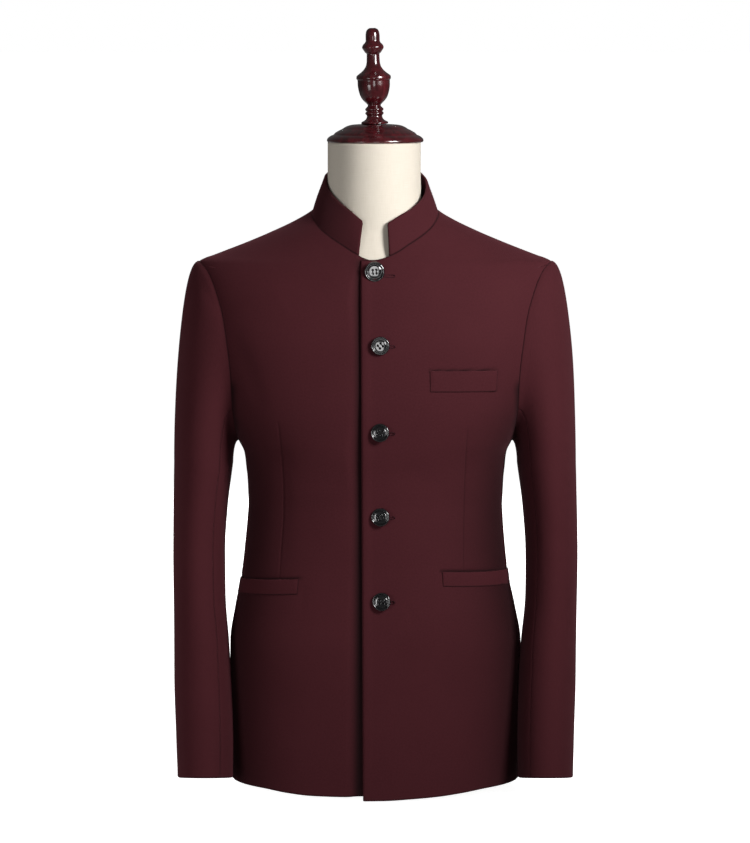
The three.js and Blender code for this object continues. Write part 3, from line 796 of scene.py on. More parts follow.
CREASE_POINTS = 32
TONE_DEPTH = -0.01
FREE_FROM = 11.0
PAINTED_SEAM_SHADE_WIDTH = 1.1
PAINTED_SHADE_SPREAD = 0.8
DRAPE_WAVES = (
    (0.28, 31.0, math.inf, 47.0, 0.4),
    (0.22, math.inf, 27.0, -63.0, 1.9),
    (0.18, 83.0, -41.0, 29.0, 0.0),
    (0.10, 13.0, math.inf, -21.0, 2.2),
)


@dataclass(frozen=True)
class Crease:
    """A soft trough (depth below 0) or ridge (above 0) along a line on a surface, which can also paint
    shade along the line.

    The path's points are the surface's own two coordinates, or x and height on the front.
    """

    path: Rows
    width: float
    depth: float
    by_x: bool = False
    # painted shade: how dark the crease paints its line, from 0 to 1
    painted_shade_weight: float = 0.0
    taper: float = 0.5

    def line(self, surface: Surface, body: BodySurface) -> Array:
        """The path as points in space."""
        path = np.asarray(self.path, float)
        places = np.linspace(0, len(path) - 1, CREASE_POINTS)
        first = np.interp(places, np.arange(len(path)), path[:, 0])
        second = np.interp(places, np.arange(len(path)), path[:, 1])
        if self.by_x:
            first = body.angle_at_x(first, second)
        return surface(first, second)

    def relief(self, points: Array, line: Array) -> tuple[Array, Array]:
        """How far the crease moves each point out, and how much painted shade it puts there.

        The move is depth times e to the minus (distance / width) squared, times the sine of
        the way along the line to the power of the taper.

        Args:
            points: the grid's points.
            line: the crease's line in space.

        Returns:
            The move in millimetres, and the painted shade from 0 to 1.
        """
        step = np.diff(line, axis=0)
        best = np.full(points.shape[:-1], np.inf)
        way = np.zeros(points.shape[:-1])
        length = np.sum(step * step, axis=1)
        for k, (start, run) in enumerate(zip(line[:-1], step)):
            t = np.clip((points - start) @ run / max(length[k], TINY), 0, 1)
            far = np.linalg.norm(points - start - t[..., None] * run, axis=-1)
            closer = far < best
            best = np.where(closer, far, best)
            way = np.where(closer, (k + t) / len(step), way)
        fade = np.sin(np.pi * np.clip(way, 0.001, 0.999)) ** self.taper if self.taper else 1.0
        # painted shade: darkest on the line and fading away from it
        dark = self.painted_shade_weight * hump(best, self.width * PAINTED_SHADE_SPREAD)
        return self.depth * hump(best, self.width) * fade, dark * fade


Creases = tuple[Crease, ...]


def tone(path: Rows, width: float, dark: float, by_x: bool = False) -> Crease:
    """Painted shade along a line or over a patch of the cloth, with a trough too shallow to see, as deep
    and dark at its ends as between them.
    """
    return Crease(path, width, TONE_DEPTH, by_x, dark, 0.0)


class Edge(Enum):
    """What is done to a cloth edge: (groove, its width, pucker, its width, painted shade in the groove).
    """

    SEAM = (-0.9, 1.4, -0.35, 7.0, 0.85)
    PRESSED = (-0.45, 1.2, -0.1, 6.0, 0.4)
    SET = (0.0, 1.0, 0.0, 5.0, 0.9)
    FOLD = (-0.9, 0.8, 0.25, 6.0, 0.0)
    PLAIN = (-0.3, 0.8, 0.0, 5.0, 0.0)

    def relief(self, distance: Array) -> tuple[Array, Array]:
        """The move and the painted shade at a distance from the edge."""
        groove, width, pucker, reach, dark = self.value
        move = groove * hump(distance, width) + pucker * hump(distance, reach)
        return move, dark * hump(distance, PAINTED_SEAM_SHADE_WIDTH)

    def calm(self, distance: Array) -> Array:
        """How free the cloth is to move: 0 at a sewn edge and 1 from 11 mm off it."""
        free = np.ones_like(distance)
        return free if self in (Edge.FOLD, Edge.PLAIN) else smooth_step(distance, 0, FREE_FROM)


@dataclass(frozen=True)
class Edges:
    """The four edges of a cloth grid."""

    bottom: Edge
    right: Edge
    top: Edge
    left: Edge

    def relief(self, points: Array, arm: Array | float = 0.0) -> tuple[Array, Array, Array]:
        """Adds up what the four edges do to a grid of points.

        Args:
            points: the grid.
            arm: for each row, 1 where its side seam is the armhole, which has no groove.

        Returns:
            The move, the painted shade and how free the cloth is, at each point.
        """
        across, up = along(points, 1), along(points, 0)
        move, cavity, free = 0.0, 0.0, 1.0
        for edge, distance, sideways in (
            (self.left, across, True),
            (self.right, across[:, -1:] - across, True),
            (self.bottom, up, False),
            (self.top, up[-1:] - up, False),
        ):
            groove, dark = edge.relief(distance)
            held = np.reshape(1 - arm, (-1, 1)) if sideways and edge is Edge.SEAM else 1.0
            move, cavity = move + groove * held, cavity + dark
            free = free * edge.calm(distance)
        return move, np.clip(cavity, 0, 1), free


def drape(points: Array) -> Array:
    """The slight unevenness of hanging cloth: a sum of long sine waves in x, y and z.

    A row of the waves is the height, the lengths over 2 pi along x, y and z, and the phase.
    """
    x, y, z = (points[..., k] for k in range(3))
    return sum(high * np.sin(x / a + y / b + z / c + phase) for high, a, b, c, phase in DRAPE_WAVES)


@dataclass(frozen=True)
class ClothPiece:
    """What a maker knows of one cut piece: its names, flat size and how it is held."""

    name: str
    node: str
    flat: Pair
    area: float
    held: str
    rests_on: tuple[str, ...]

    def declare(self, piece: Piece) -> None:
        """Fixes a finished piece to the root body, hides the CAD part it stands for and logs its point
        count and flat size.
        """
        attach(piece, "root")
        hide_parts(self.node)
        LOG.info("%s: %d points, flat %s m", piece.name, len(piece.data.vertices), self.flat)


class Hand(Enum):
    """The wearer's hand, with the sign of its x."""

    LEFT = 1
    RIGHT = -1

    @property
    def word(self) -> str:
        """The hand in lower case, as the pieces' names have it."""
        return self.name.lower()

    def draped(
        self, part: str, flat: Pair, area: float, rests_on: tuple[str, ...] = ("form_torso",)
    ) -> ClothPiece:
        """A panel of this hand that lies draped on what it rests on."""
        name = f"{part}_{self.word}"
        return ClothPiece(f"jacket_{name}", name, flat, area, "draped", rests_on)


# ---- body panels

DARTS = {
    Hand.LEFT: ((106.0, 258.0), (107.0, 310.0), (108.0, 360.0), (109.2, 408.0), (110.2, 453.0)),
    Hand.RIGHT: (
        (116.2, 262.0), (114.0, 300.0), (111.4, 336.0), (110.6, 376.0), (112.0, 411.0),
        (114.0, 435.0), (116.4, 460.0),
    ),
}
SEAM_SHARES = np.array([0, 0.1, 0.23, 0.36, 0.49, 0.6, 0.71, 0.81, 0.91, 1])
SHOULDER_SHARES = np.array([0, 0.06, 0.14, 0.28, 0.46, 0.66, 0.84, 1])
SEAM_ROWS, ARM_ROWS, SHOULDER_ROWS = 9, 8, 7
LAST_ROW = SEAM_ROWS + ARM_ROWS + SHOULDER_ROWS
SIDE_FRONT_SEAM = ((0, -9), (350, -8))
SIDE_BACK_SEAM = ((0, 35), (200, 38), (350, 38), (420, 28))


def level_hem(angle: Array) -> Array:
    """The hem's height, the same at every angle."""
    return np.full_like(angle, HEM_HEIGHT)


def edge_on_row(left: Array, right: Array, row: int, height: EdgeShape) -> EdgeShape:
    """The bottom or top edge of a panel.

    Args:
        left: angle and height of the left edge, row by row.
        right: the same of the right edge.
        row: the row whose ends the edge joins.
        height: its height at an angle.

    Returns:
        A function of the share across that gives the edge's angle and height.
    """

    def edge(share: Array) -> Array:
        """The edge's angle and height at a share across."""
        angle = left[row, 0] * (1 - share) + right[row, 0] * share
        return np.stack([angle, height(angle)], axis=-1)

    return edge


@dataclass
class BodyPanels:
    """The fronts, sides and backs of the jacket."""

    surface: BodySurface
    suiting: Material
    underlap: float = 3.0
    pitch: float = 3.0
    side_pitch: float = 3.2
    front_widths: Pair = (130.0, 88.0)
    side_width: float = 125.0
    back_width: float = 190.0
    hem_heights: Numbers = (0, 0.7, 1.5, 2.6, 4.0, 6.0, 9.0)
    height_bands: Rows = ((26, 240, 4.0), (240, 284, 1.5), (285, math.inf, 3.5))
    arm_steps: int = 96
    shoulder_steps: int = 39
    neck_rows: Numbers = (0.3, 0.2, 0.13, 0.07, 0.03, 0.0)
    step_start: Pair = (0.19, 0.02)
    step_width: Pair = (0.08, 0.04)
    dart_halvings: int = 24
    share_above_dart: float = 0.52
    above_dart: Pair = (470.0, 560.0)

    def seam_tables(self) -> tuple[Table, Table]:
        """The side panel's two seams, as angles at heights up to the armhole."""
        front, back = self.surface.armhole(FRONT_TURN), self.surface.armhole(BACK_TURN)
        front_rows, back_rows = (
            rows + ((float(top[1]), float(top[0])),)
            for rows, top in ((SIDE_FRONT_SEAM, front), (SIDE_BACK_SEAM, back))
        )
        return Table(("z", "angle"), front_rows), Table(("z", "angle"), back_rows)

    def shift(self, angle: Array, z: Array) -> Array:
        """Half of the seam's gap, as an angle in degrees."""
        point = self.surface.point(angle, z)
        return np.degrees(SEAM_GAP / 2 / np.hypot(point[..., 0], point[..., 1]))

    def rows(self, top: float) -> Array:
        """Row places from the hem (0) to the neck (24), closer at hem, pocket and neck.

        Args:
            top: height where the side seam meets the armhole.

        Returns:
            The places, where 9 is the foot of the armhole and 17 the shoulder point.
        """
        bands = [np.arange(low, min(high, top - 2), pitch) for low, high, pitch in self.height_bands]
        heights = np.concatenate([HEM_HEIGHT + np.array(self.hem_heights), *bands, [top]])
        share = (heights - HEM_HEIGHT) / (top - HEM_HEIGHT)
        seam = np.interp(share, SEAM_SHARES, np.arange(SEAM_ROWS + 1))
        arm = np.linspace(SEAM_ROWS, SEAM_ROWS + ARM_ROWS, self.arm_steps + 1)[1:]
        neck = LAST_ROW - np.array(self.neck_rows)
        shoulder = np.linspace(SEAM_ROWS + ARM_ROWS, neck[0], self.shoulder_steps + 1)[1:]
        return np.concatenate([seam, arm, shoulder, neck[1:]])

    def outer_edge(self, seam: Table, turn: float, rows: Array, sign: int) -> Array:
        """The edge by the side panel, the sleeve and the shoulder seam, at each row place.

        Args:
            seam: the side seam's table.
            turn: where the side seam meets the armhole.
            rows: row places.
            sign: which side of the seam's middle the edge is on.

        Returns:
            Angle and height for each row.
        """
        top = float(self.surface.armhole(turn)[1])
        low = HEM_HEIGHT + (top - HEM_HEIGHT) * np.interp(rows, np.arange(SEAM_ROWS + 1), SEAM_SHARES)
        on_hole = np.clip(rows - SEAM_ROWS, 0, ARM_ROWS) / ARM_ROWS
        arm_angle, arm_z = self.surface.armhole(turn * (1 - on_hole))
        up = np.interp(rows - SEAM_ROWS - ARM_ROWS, np.arange(SHOULDER_ROWS + 1), SHOULDER_SHARES)
        high = SHOULDER_POINT + (NECK_POINT - SHOULDER_POINT) * up
        on_seam, on_arm = rows <= SEAM_ROWS, rows <= SEAM_ROWS + ARM_ROWS
        z = np.where(on_seam, low, np.where(on_arm, arm_z, high))
        angle = np.where(on_seam, seam.at("angle", low), np.where(on_arm, arm_angle, 0.0))
        return np.stack([angle + sign * self.shift(angle, z), z], axis=-1)

    @staticmethod
    def arm_rows(rows: Array) -> Array:
        """1 on the rows whose outer edge is the armhole."""
        low, high = SEAM_ROWS, SEAM_ROWS + ARM_ROWS
        return smooth_step(rows, low - 0.3, low) * (1 - smooth_step(rows, high, high + 0.5))

    @staticmethod
    def centre_heights(rows: Array, hem: float, top: float, chest: float, neck: float) -> Array:
        """Heights down the centre line at each row place, straight between named ones."""
        seam = HEM_HEIGHT + (top - HEM_HEIGHT) * SEAM_SHARES
        seam[0] = hem
        arm = np.linspace(top, chest, ARM_ROWS + 1)[1:]
        shoulder = chest + (neck - chest) * SHOULDER_SHARES[1:]
        return np.interp(rows, np.arange(LAST_ROW + 1), np.concatenate([seam, arm, shoulder]))

    @staticmethod
    def patch(
        left: Array, right: Array, bottom: EdgeShape, top: EdgeShape, rise: Array, across: Array,
        bend: float = 3.0,
    ) -> tuple[Array, Array]:
        """Angles and heights of a four-sided patch.

        Rows run straight from the left edge to the right. Near the first and last row they
        bend by how far the bottom or top edge departs from its own chord, times the share of
        the way to that row to the power of the bend.

        Args:
            left: angle and height of the left edge, row by row.
            right: the same of the right edge.
            bottom: function of the share across that gives the bottom edge's angle and height.
            top: the same for the top edge.
            rise: share of the way up of each row.
            across: share across of each point, rows by columns.
            bend: how quickly the bending fades.

        Returns:
            The angles and the heights.
        """
        mixed = left[:, None] * (1 - across[..., None]) + right[:, None] * across[..., None]
        for edge, share in ((bottom, 1 - rise), (top, rise)):
            ends = edge(np.array([0.0, 1.0]))
            chord = ends[0] * (1 - across[..., None]) + ends[1] * across[..., None]
            mixed = mixed + (share**bend)[:, None, None] * (edge(across) - chord)
        return mixed[..., 0], mixed[..., 1]

    def finish(
        self, piece: ClothPiece, hand: Hand, angle: Array, z: Array, edges: Edges, rim: Rim,
        creases: Creases, lift: Array | float = 0.0, arm: Array | float = 0.0,
    ) -> Piece:
        """Moves a grid by its creases, edges and drape, and makes its shell.

        Args:
            piece: what the piece is.
            hand: the wearer's hand that it is on.
            angle: the grid's angles.
            z: the grid's heights.
            edges: what is done to its edges.
            rim: roundness of its edges.
            creases: the creases on it.
            lift: how far it stands off the body's surface.
            arm: for each row, whether its side seam is the armhole.

        Returns:
            The object.
        """
        base, normal = self.surface.point(angle, z), self.surface.normal(angle, z)
        move, cavity, free = edges.relief(base, arm)
        move = move + drape(base * (hand.value, 1, 1)) * free + lift
        for crease in creases:
            line = crease.line(self.surface.point, self.surface)
            out, dark = crease.relief(base, line)
            move = move + out * (1.0 if crease.painted_shade_weight else free)
            cavity = np.maximum(cavity, dark)
        outer = base + normal * move[..., None]
        inner = outer - normal * CLOTH
        uv = self.surface.cloth_map(angle, z)
        made = shell(piece.name, outer, inner, rim, self.suiting, uv, cavity, hand.value)
        piece.declare(made)
        return made

    def front(self, hand: Hand, creases: Creases) -> Piece:
        """One front, from the closing edge to the side seam, with its columns along the dart."""
        over = hand is Hand.LEFT
        column = "over" if over else "under"
        seam = self.seam_tables()[0]
        top = float(self.surface.armhole(FRONT_TURN)[1])
        rows = self.rows(top)
        right = self.outer_edge(seam, FRONT_TURN, rows, -1)
        heights = self.centre_heights(rows, float(HEM.at(column, -98)), top, CHEST_ROW, CLOSURE_TOP)
        edge_x = CLOSURE_EDGE[0] + (CLOSURE_EDGE[1] - CLOSURE_EDGE[0]) * heights / CLOSURE_TOP
        left = np.stack([self.surface.angle_at_x(edge_x, heights), heights], axis=-1)
        bottom = edge_on_row(left, right, 0, lambda angle: HEM.at(column, angle))
        neckline = edge_on_row(left, right, -1, self.surface.neck_height)
        rise = rows / rows[-1]
        dart = self.dart_share(DARTS[hand], left, right, bottom, neckline, rise)
        inside, outside = (shares(width, self.pitch) for width in self.front_widths)
        before, beyond = dart[:, None], 1 - dart[:, None]
        across = np.concatenate([before * inside[None, :-1], before + beyond * outside[None, :]], axis=1)
        angle, z = self.patch(left, right, bottom, neckline, rise, across)
        neck = smooth_step(rise[:, None], 0.7, 1.0)
        start = self.step_start[0] + self.step_start[1] * neck
        width = self.step_width[0] - self.step_width[1] * neck
        lift = 0.0 if over else self.underlap * (smooth_step(across, start, start + width) - 1)
        under = ("form_torso", "jacket_front_right") if over else ("form_torso",)
        piece = hand.draped("front", (0.30, 0.71), 0.155, under)
        edges = Edges(Edge.FOLD, Edge.SEAM, Edge.SET, Edge.FOLD)
        arm = self.arm_rows(rows)
        return self.finish(piece, hand, angle, z, edges, Rim(left=0.8), creases, lift, arm)

    def dart_share(
        self, dart: Rows, left: Array, right: Array, bottom: EdgeShape, top: EdgeShape, rise: Array
    ) -> Array:
        """The share across of the dart's line on each row, held above the dart.

        Args:
            dart: x and height of the dart's points, from its foot up.
            left: the closing edge.
            right: the outer edge.
            bottom: the hem.
            top: the neck seam.
            rise: share of the way up of each row.

        Returns:
            One share for each row.
        """
        low, high = np.full(len(rise), 0.05), np.full(len(rise), 0.95)
        for _ in range(self.dart_halvings):
            middle = (low + high) / 2
            angle, z = self.patch(left, right, bottom, top, rise, middle[:, None])
            x = self.surface.point(angle, z)[:, 0, 0]
            target = np.interp(z[:, 0], [d[1] for d in dart], [d[0] for d in dart])
            low, high = np.where(x < target, middle, low), np.where(x < target, high, middle)
        found = (low + high) / 2
        above = smooth_step(left[:, 1], *self.above_dart)
        return found * (1 - above) + self.share_above_dart * above

    def side(self, hand: Hand, creases: Creases) -> Piece:
        """One side panel, between the front and the back, up to the underarm."""
        front_seam, back_seam = self.seam_tables()
        front_top, back_top = (float(self.surface.armhole(t)[1]) for t in (FRONT_TURN, BACK_TURN))
        rows = self.rows(front_top)
        rows = rows[rows <= SEAM_ROWS]
        share = np.interp(rows, np.arange(SEAM_ROWS + 1), SEAM_SHARES)

        def seam_edge(seam: Table, top: float, sign: int) -> Array:
            """Angle and height of a seam at each row."""
            z = HEM_HEIGHT + (top - HEM_HEIGHT) * share
            angle = seam.at("angle", z)
            return np.stack([angle + sign * self.shift(angle, z), z], axis=-1)

        left, right = seam_edge(front_seam, front_top, 1), seam_edge(back_seam, back_top, -1)

        def armhole_foot(share: Array) -> Array:
            """The armhole's foot at a share across."""
            turn = (FRONT_TURN + 360) * (1 - share) + BACK_TURN * share
            return np.stack(self.surface.armhole(turn), axis=-1)

        bottom = edge_on_row(left, right, 0, level_hem)
        across = np.repeat(shares(self.side_width, self.side_pitch)[None, :], len(rows), axis=0)
        angle, z = self.patch(left, right, bottom, armhole_foot, rows / SEAM_ROWS, across, 2.0)
        piece = hand.draped("side", (0.14, 0.47), 0.057)
        edges = Edges(Edge.FOLD, Edge.SEAM, Edge.SET, Edge.SEAM)
        return self.finish(piece, hand, angle, z, edges, Rim(), creases)

    def back(self, hand: Hand, creases: Creases) -> Piece:
        """One back, from the side seam to the centre back seam."""
        seam = self.seam_tables()[1]
        top = float(self.surface.armhole(BACK_TURN)[1])
        rows = self.rows(top)
        left = self.outer_edge(seam, BACK_TURN, rows, 1)
        neck = float(self.surface.neck_height(np.array(90.0)))
        heights = self.centre_heights(rows, HEM_HEIGHT, top, BACK_ROW, neck)
        right = np.stack([90 - self.shift(np.full_like(heights, 90.0), heights), heights], axis=-1)
        bottom = edge_on_row(left, right, 0, level_hem)
        neckline = edge_on_row(left, right, -1, self.surface.neck_height)
        across = np.repeat(shares(self.back_width, self.pitch)[None, :], len(rows), axis=0)
        angle, z = self.patch(left, right, bottom, neckline, rows / rows[-1], across)
        piece = hand.draped("back", (0.22, 0.74), 0.117)
        edges = Edges(Edge.FOLD, Edge.PRESSED, Edge.SET, Edge.SEAM)
        return self.finish(piece, hand, angle, z, edges, Rim(), creases, 0.0, self.arm_rows(rows))

    def build(self) -> None:
        """Makes the six panels with the creases of each."""
        # pocket mouths: a groove with painted shade along it
        mouths = {
            Hand.LEFT: Crease(((-52.2, 279.2), (1, 270.9)), 2.4, -1.2, painted_shade_weight=1.0, taper=0.1),
            Hand.RIGHT: Crease(((-47.5, 270.1), (1, 259.2)), 2.4, -1.2, painted_shade_weight=1.0, taper=0.1),
        }
        # darts: a narrow groove with painted shade along it, and a wide soft trough
        darts = {
            hand: (
                Crease(line, 1.2, -0.8, by_x=True, painted_shade_weight=0.5, taper=0.35),
                Crease(line, 13.0, -1.4, by_x=True, taper=0.8),
            )
            for hand, line in DARTS.items()
        }
        turns = (-112, -126, -140, -154, -168, -178)
        armhole = tuple(tuple(map(float, self.surface.armhole(turn))) for turn in turns)
        # painted shade along the armhole, down the side under the arm and in the armpit
        shade = {
            hand: (
                tone(armhole, 14.0, 1.0),
                tone(((-8, 0), (-8, 340), (-6, 430)), 84.0, dark),
                tone(((-17, 456), (-13, 438), (-9, 424), (-8, 404)), 17.0, 1.0),
            )
            for hand, dark in ((Hand.LEFT, 0.92), (Hand.RIGHT, 0.78))
        }
        fronts = {
            Hand.LEFT: darts[Hand.LEFT] + shade[Hand.LEFT] + (
                # the breast pocket's mouth: a groove with painted shade along it
                Crease(((-61.8, 522.2), (-32.8, 520.7)), 1.9, -0.9, painted_shade_weight=0.9, taper=0.1),
                mouths[Hand.LEFT],
                Crease(((38, 240.0), (44, 226.0), (47, 214.0)), 5.0, -0.5, by_x=True),
                Crease(((-11.0, 646.0), (-10.0, 12.0)), 5.0, 0.8, by_x=True, taper=0.2),
                Crease(((172.0, 560.0), (150.0, 520.0), (132.0, 470.0)), 13.0, -1.2, by_x=True),
                Crease(((60.0, 640.0), (110.0, 600.0)), 26.0, -1.0, by_x=True),
                Crease(((30.0, 400.0), (95.0, 372.0)), 16.0, -0.7, by_x=True),
            ),
            Hand.RIGHT: darts[Hand.RIGHT] + shade[Hand.RIGHT] + (
                mouths[Hand.RIGHT],
                Crease(((84, 262.0), (88, 246.0), (90, 232.0)), 5.0, -0.7, by_x=True),
                Crease(((21.0, 632.0), (20.0, 340.0), (21.0, 8.0)), 7.0, -1.4, by_x=True, taper=0.15),
                # painted shadow beside the over front's closing edge
                tone(((15.5, 648.0), (17.5, 330.0), (19.5, 2.0)), 9.5, 1.0, by_x=True),
                Crease(((172.0, 566.0), (152.0, 520.0), (136.0, 470.0)), 13.0, -1.3, by_x=True),
                Crease(((60.0, 640.0), (112.0, 604.0)), 26.0, -1.0, by_x=True),
                Crease(((34.0, 392.0), (98.0, 378.0)), 15.0, -0.7, by_x=True),
            ),
        }
        sides = (
            Crease(((-6, 352), (14, 344), (34, 356)), 9.0, -1.1),
            Crease(((2, 330), (22, 322)), 8.0, -0.8),
            Crease(((-4, 392), (16, 402)), 10.0, 0.7),
        )
        backs = (
            Crease(((42, 360), (62, 346), (84, 350)), 10.0, -1.2),
            Crease(((46, 330), (70, 322)), 9.0, -0.8),
            Crease(((30, 560), (52, 520), (62, 470)), 15.0, -1.3),
            Crease(((64, 712), (88, 700)), 9.0, -0.8),
            Crease(((60, 250), (66, 120)), 18.0, -1.0),
        )
        # painted shade on the side panels under the arm and at the armpit
        under_arm = (
            tone(((14, 0), (14, 450)), 70.0, 0.5),
            tone(((-8, 431), (14, 424), (30, 429)), 10.0, 0.9),
        )
        for hand in Hand:
            self.front(hand, fronts[hand])
            self.side(hand, sides + (mouths[hand],) + under_arm)
            self.back(hand, backs)


# ---- collar


@dataclass
class Collar:
    """The standing band, open at the front."""

    surface: BodySurface
    suiting: Material
    half: float = 61.0
    front: float = 74.0
    back: float = 57.5
    rise: float = -0.15
    spring: float = 0.08
    flare: float = 0.36
    thickness: float = 2.0
    corner: float = 2.2
    tall: float = 42.0
    length: float = 420.0
    ends: Triple = (-78.6, 76.5, 1.9)
    shadow: Triple = (220.0, 34.0, 0.45)
    drape_share: float = 0.5
    cloth_height: float = 45.0

    def point(self, angle: Array, share: Array) -> Array:
        """The band's outer face.

        Each point is the mix of the neck seam and an oval at the top edge. It springs up by
        a sine before it leans in, and the plan widens where the top edge is lower.

        Args:
            angle: angle round the neck.
            share: share of the way up the band.

        Returns:
            The points.
        """
        angle, share = np.broadcast_arrays(np.asarray(angle, float), np.asarray(share, float))
        base = self.surface.point(angle, self.surface.neck_height(angle)) + (0, 0, self.rise)
        folded = np.where(angle > 90, 180 - angle, angle)
        low, high = COLLAR_TOP.at("left", folded), COLLAR_TOP.at("right", folded)
        z = np.where(angle > 90, high, low)
        top = oval_point(self.half, self.front, self.back, 2.0, angle, z)
        widen = 1 + self.flare * (high - z) / np.hypot(top[..., 0], top[..., 1])
        lean = share - self.spring * np.sin(np.pi * share)
        flat = base[..., :2] * (1 - lean)[..., None] + top[..., :2] * (widen * lean)[..., None]
        height = base[..., 2] * (1 - share) + z * share
        return np.concatenate([flat, height[..., None]], axis=-1)

    def build(self) -> None:
        """Makes the band with its rounded front corners."""
        share, way_round = shares(self.tall, 2.0), shares(self.length, 2.6)
        start, end, slant = self.ends
        right = 180 + end + slant * share
        angle = start * (1 - way_round[None, :]) + right[:, None] * way_round[None, :]
        up = np.repeat(share[:, None], len(way_round), axis=1)
        way = along(self.point(angle, up), 1)
        off = np.minimum(way, way[:, -1:] - way)
        inside = np.clip(self.corner - off, 0, None)
        drop = self.corner - np.sqrt(np.clip(self.corner**2 - inside**2, 0, None))
        up = up * (1 - drop / self.tall)
        base = self.point(angle, up)
        normal = normal_of(self.point, angle, np.clip(up, 0.02, 0.98), 0.3, 0.02)
        move, cavity, free = Edges(Edge.SET, Edge.FOLD, Edge.FOLD, Edge.FOLD).relief(base)
        # painted shadow on the wearer's right side of the band
        middle, reach, dark = self.shadow
        cavity = np.maximum(cavity, dark * hump(angle - middle, reach))
        outer = base + normal * (move + self.drape_share * drape(base) * free)[..., None]
        inner = outer - normal * self.thickness
        uv = np.stack([way, up * self.cloth_height], axis=-1) / MM_PER_M
        made = shell("jacket_collar", outer, inner, Rim(0.05, 0.7, 0.8, 0.7), self.suiting, uv, cavity)
        held_on = ("form_torso",)
        ClothPiece("jacket_collar", "collar", (0.43, 0.045), 0.0184, "draped", held_on).declare(made)


# ---- sleeves


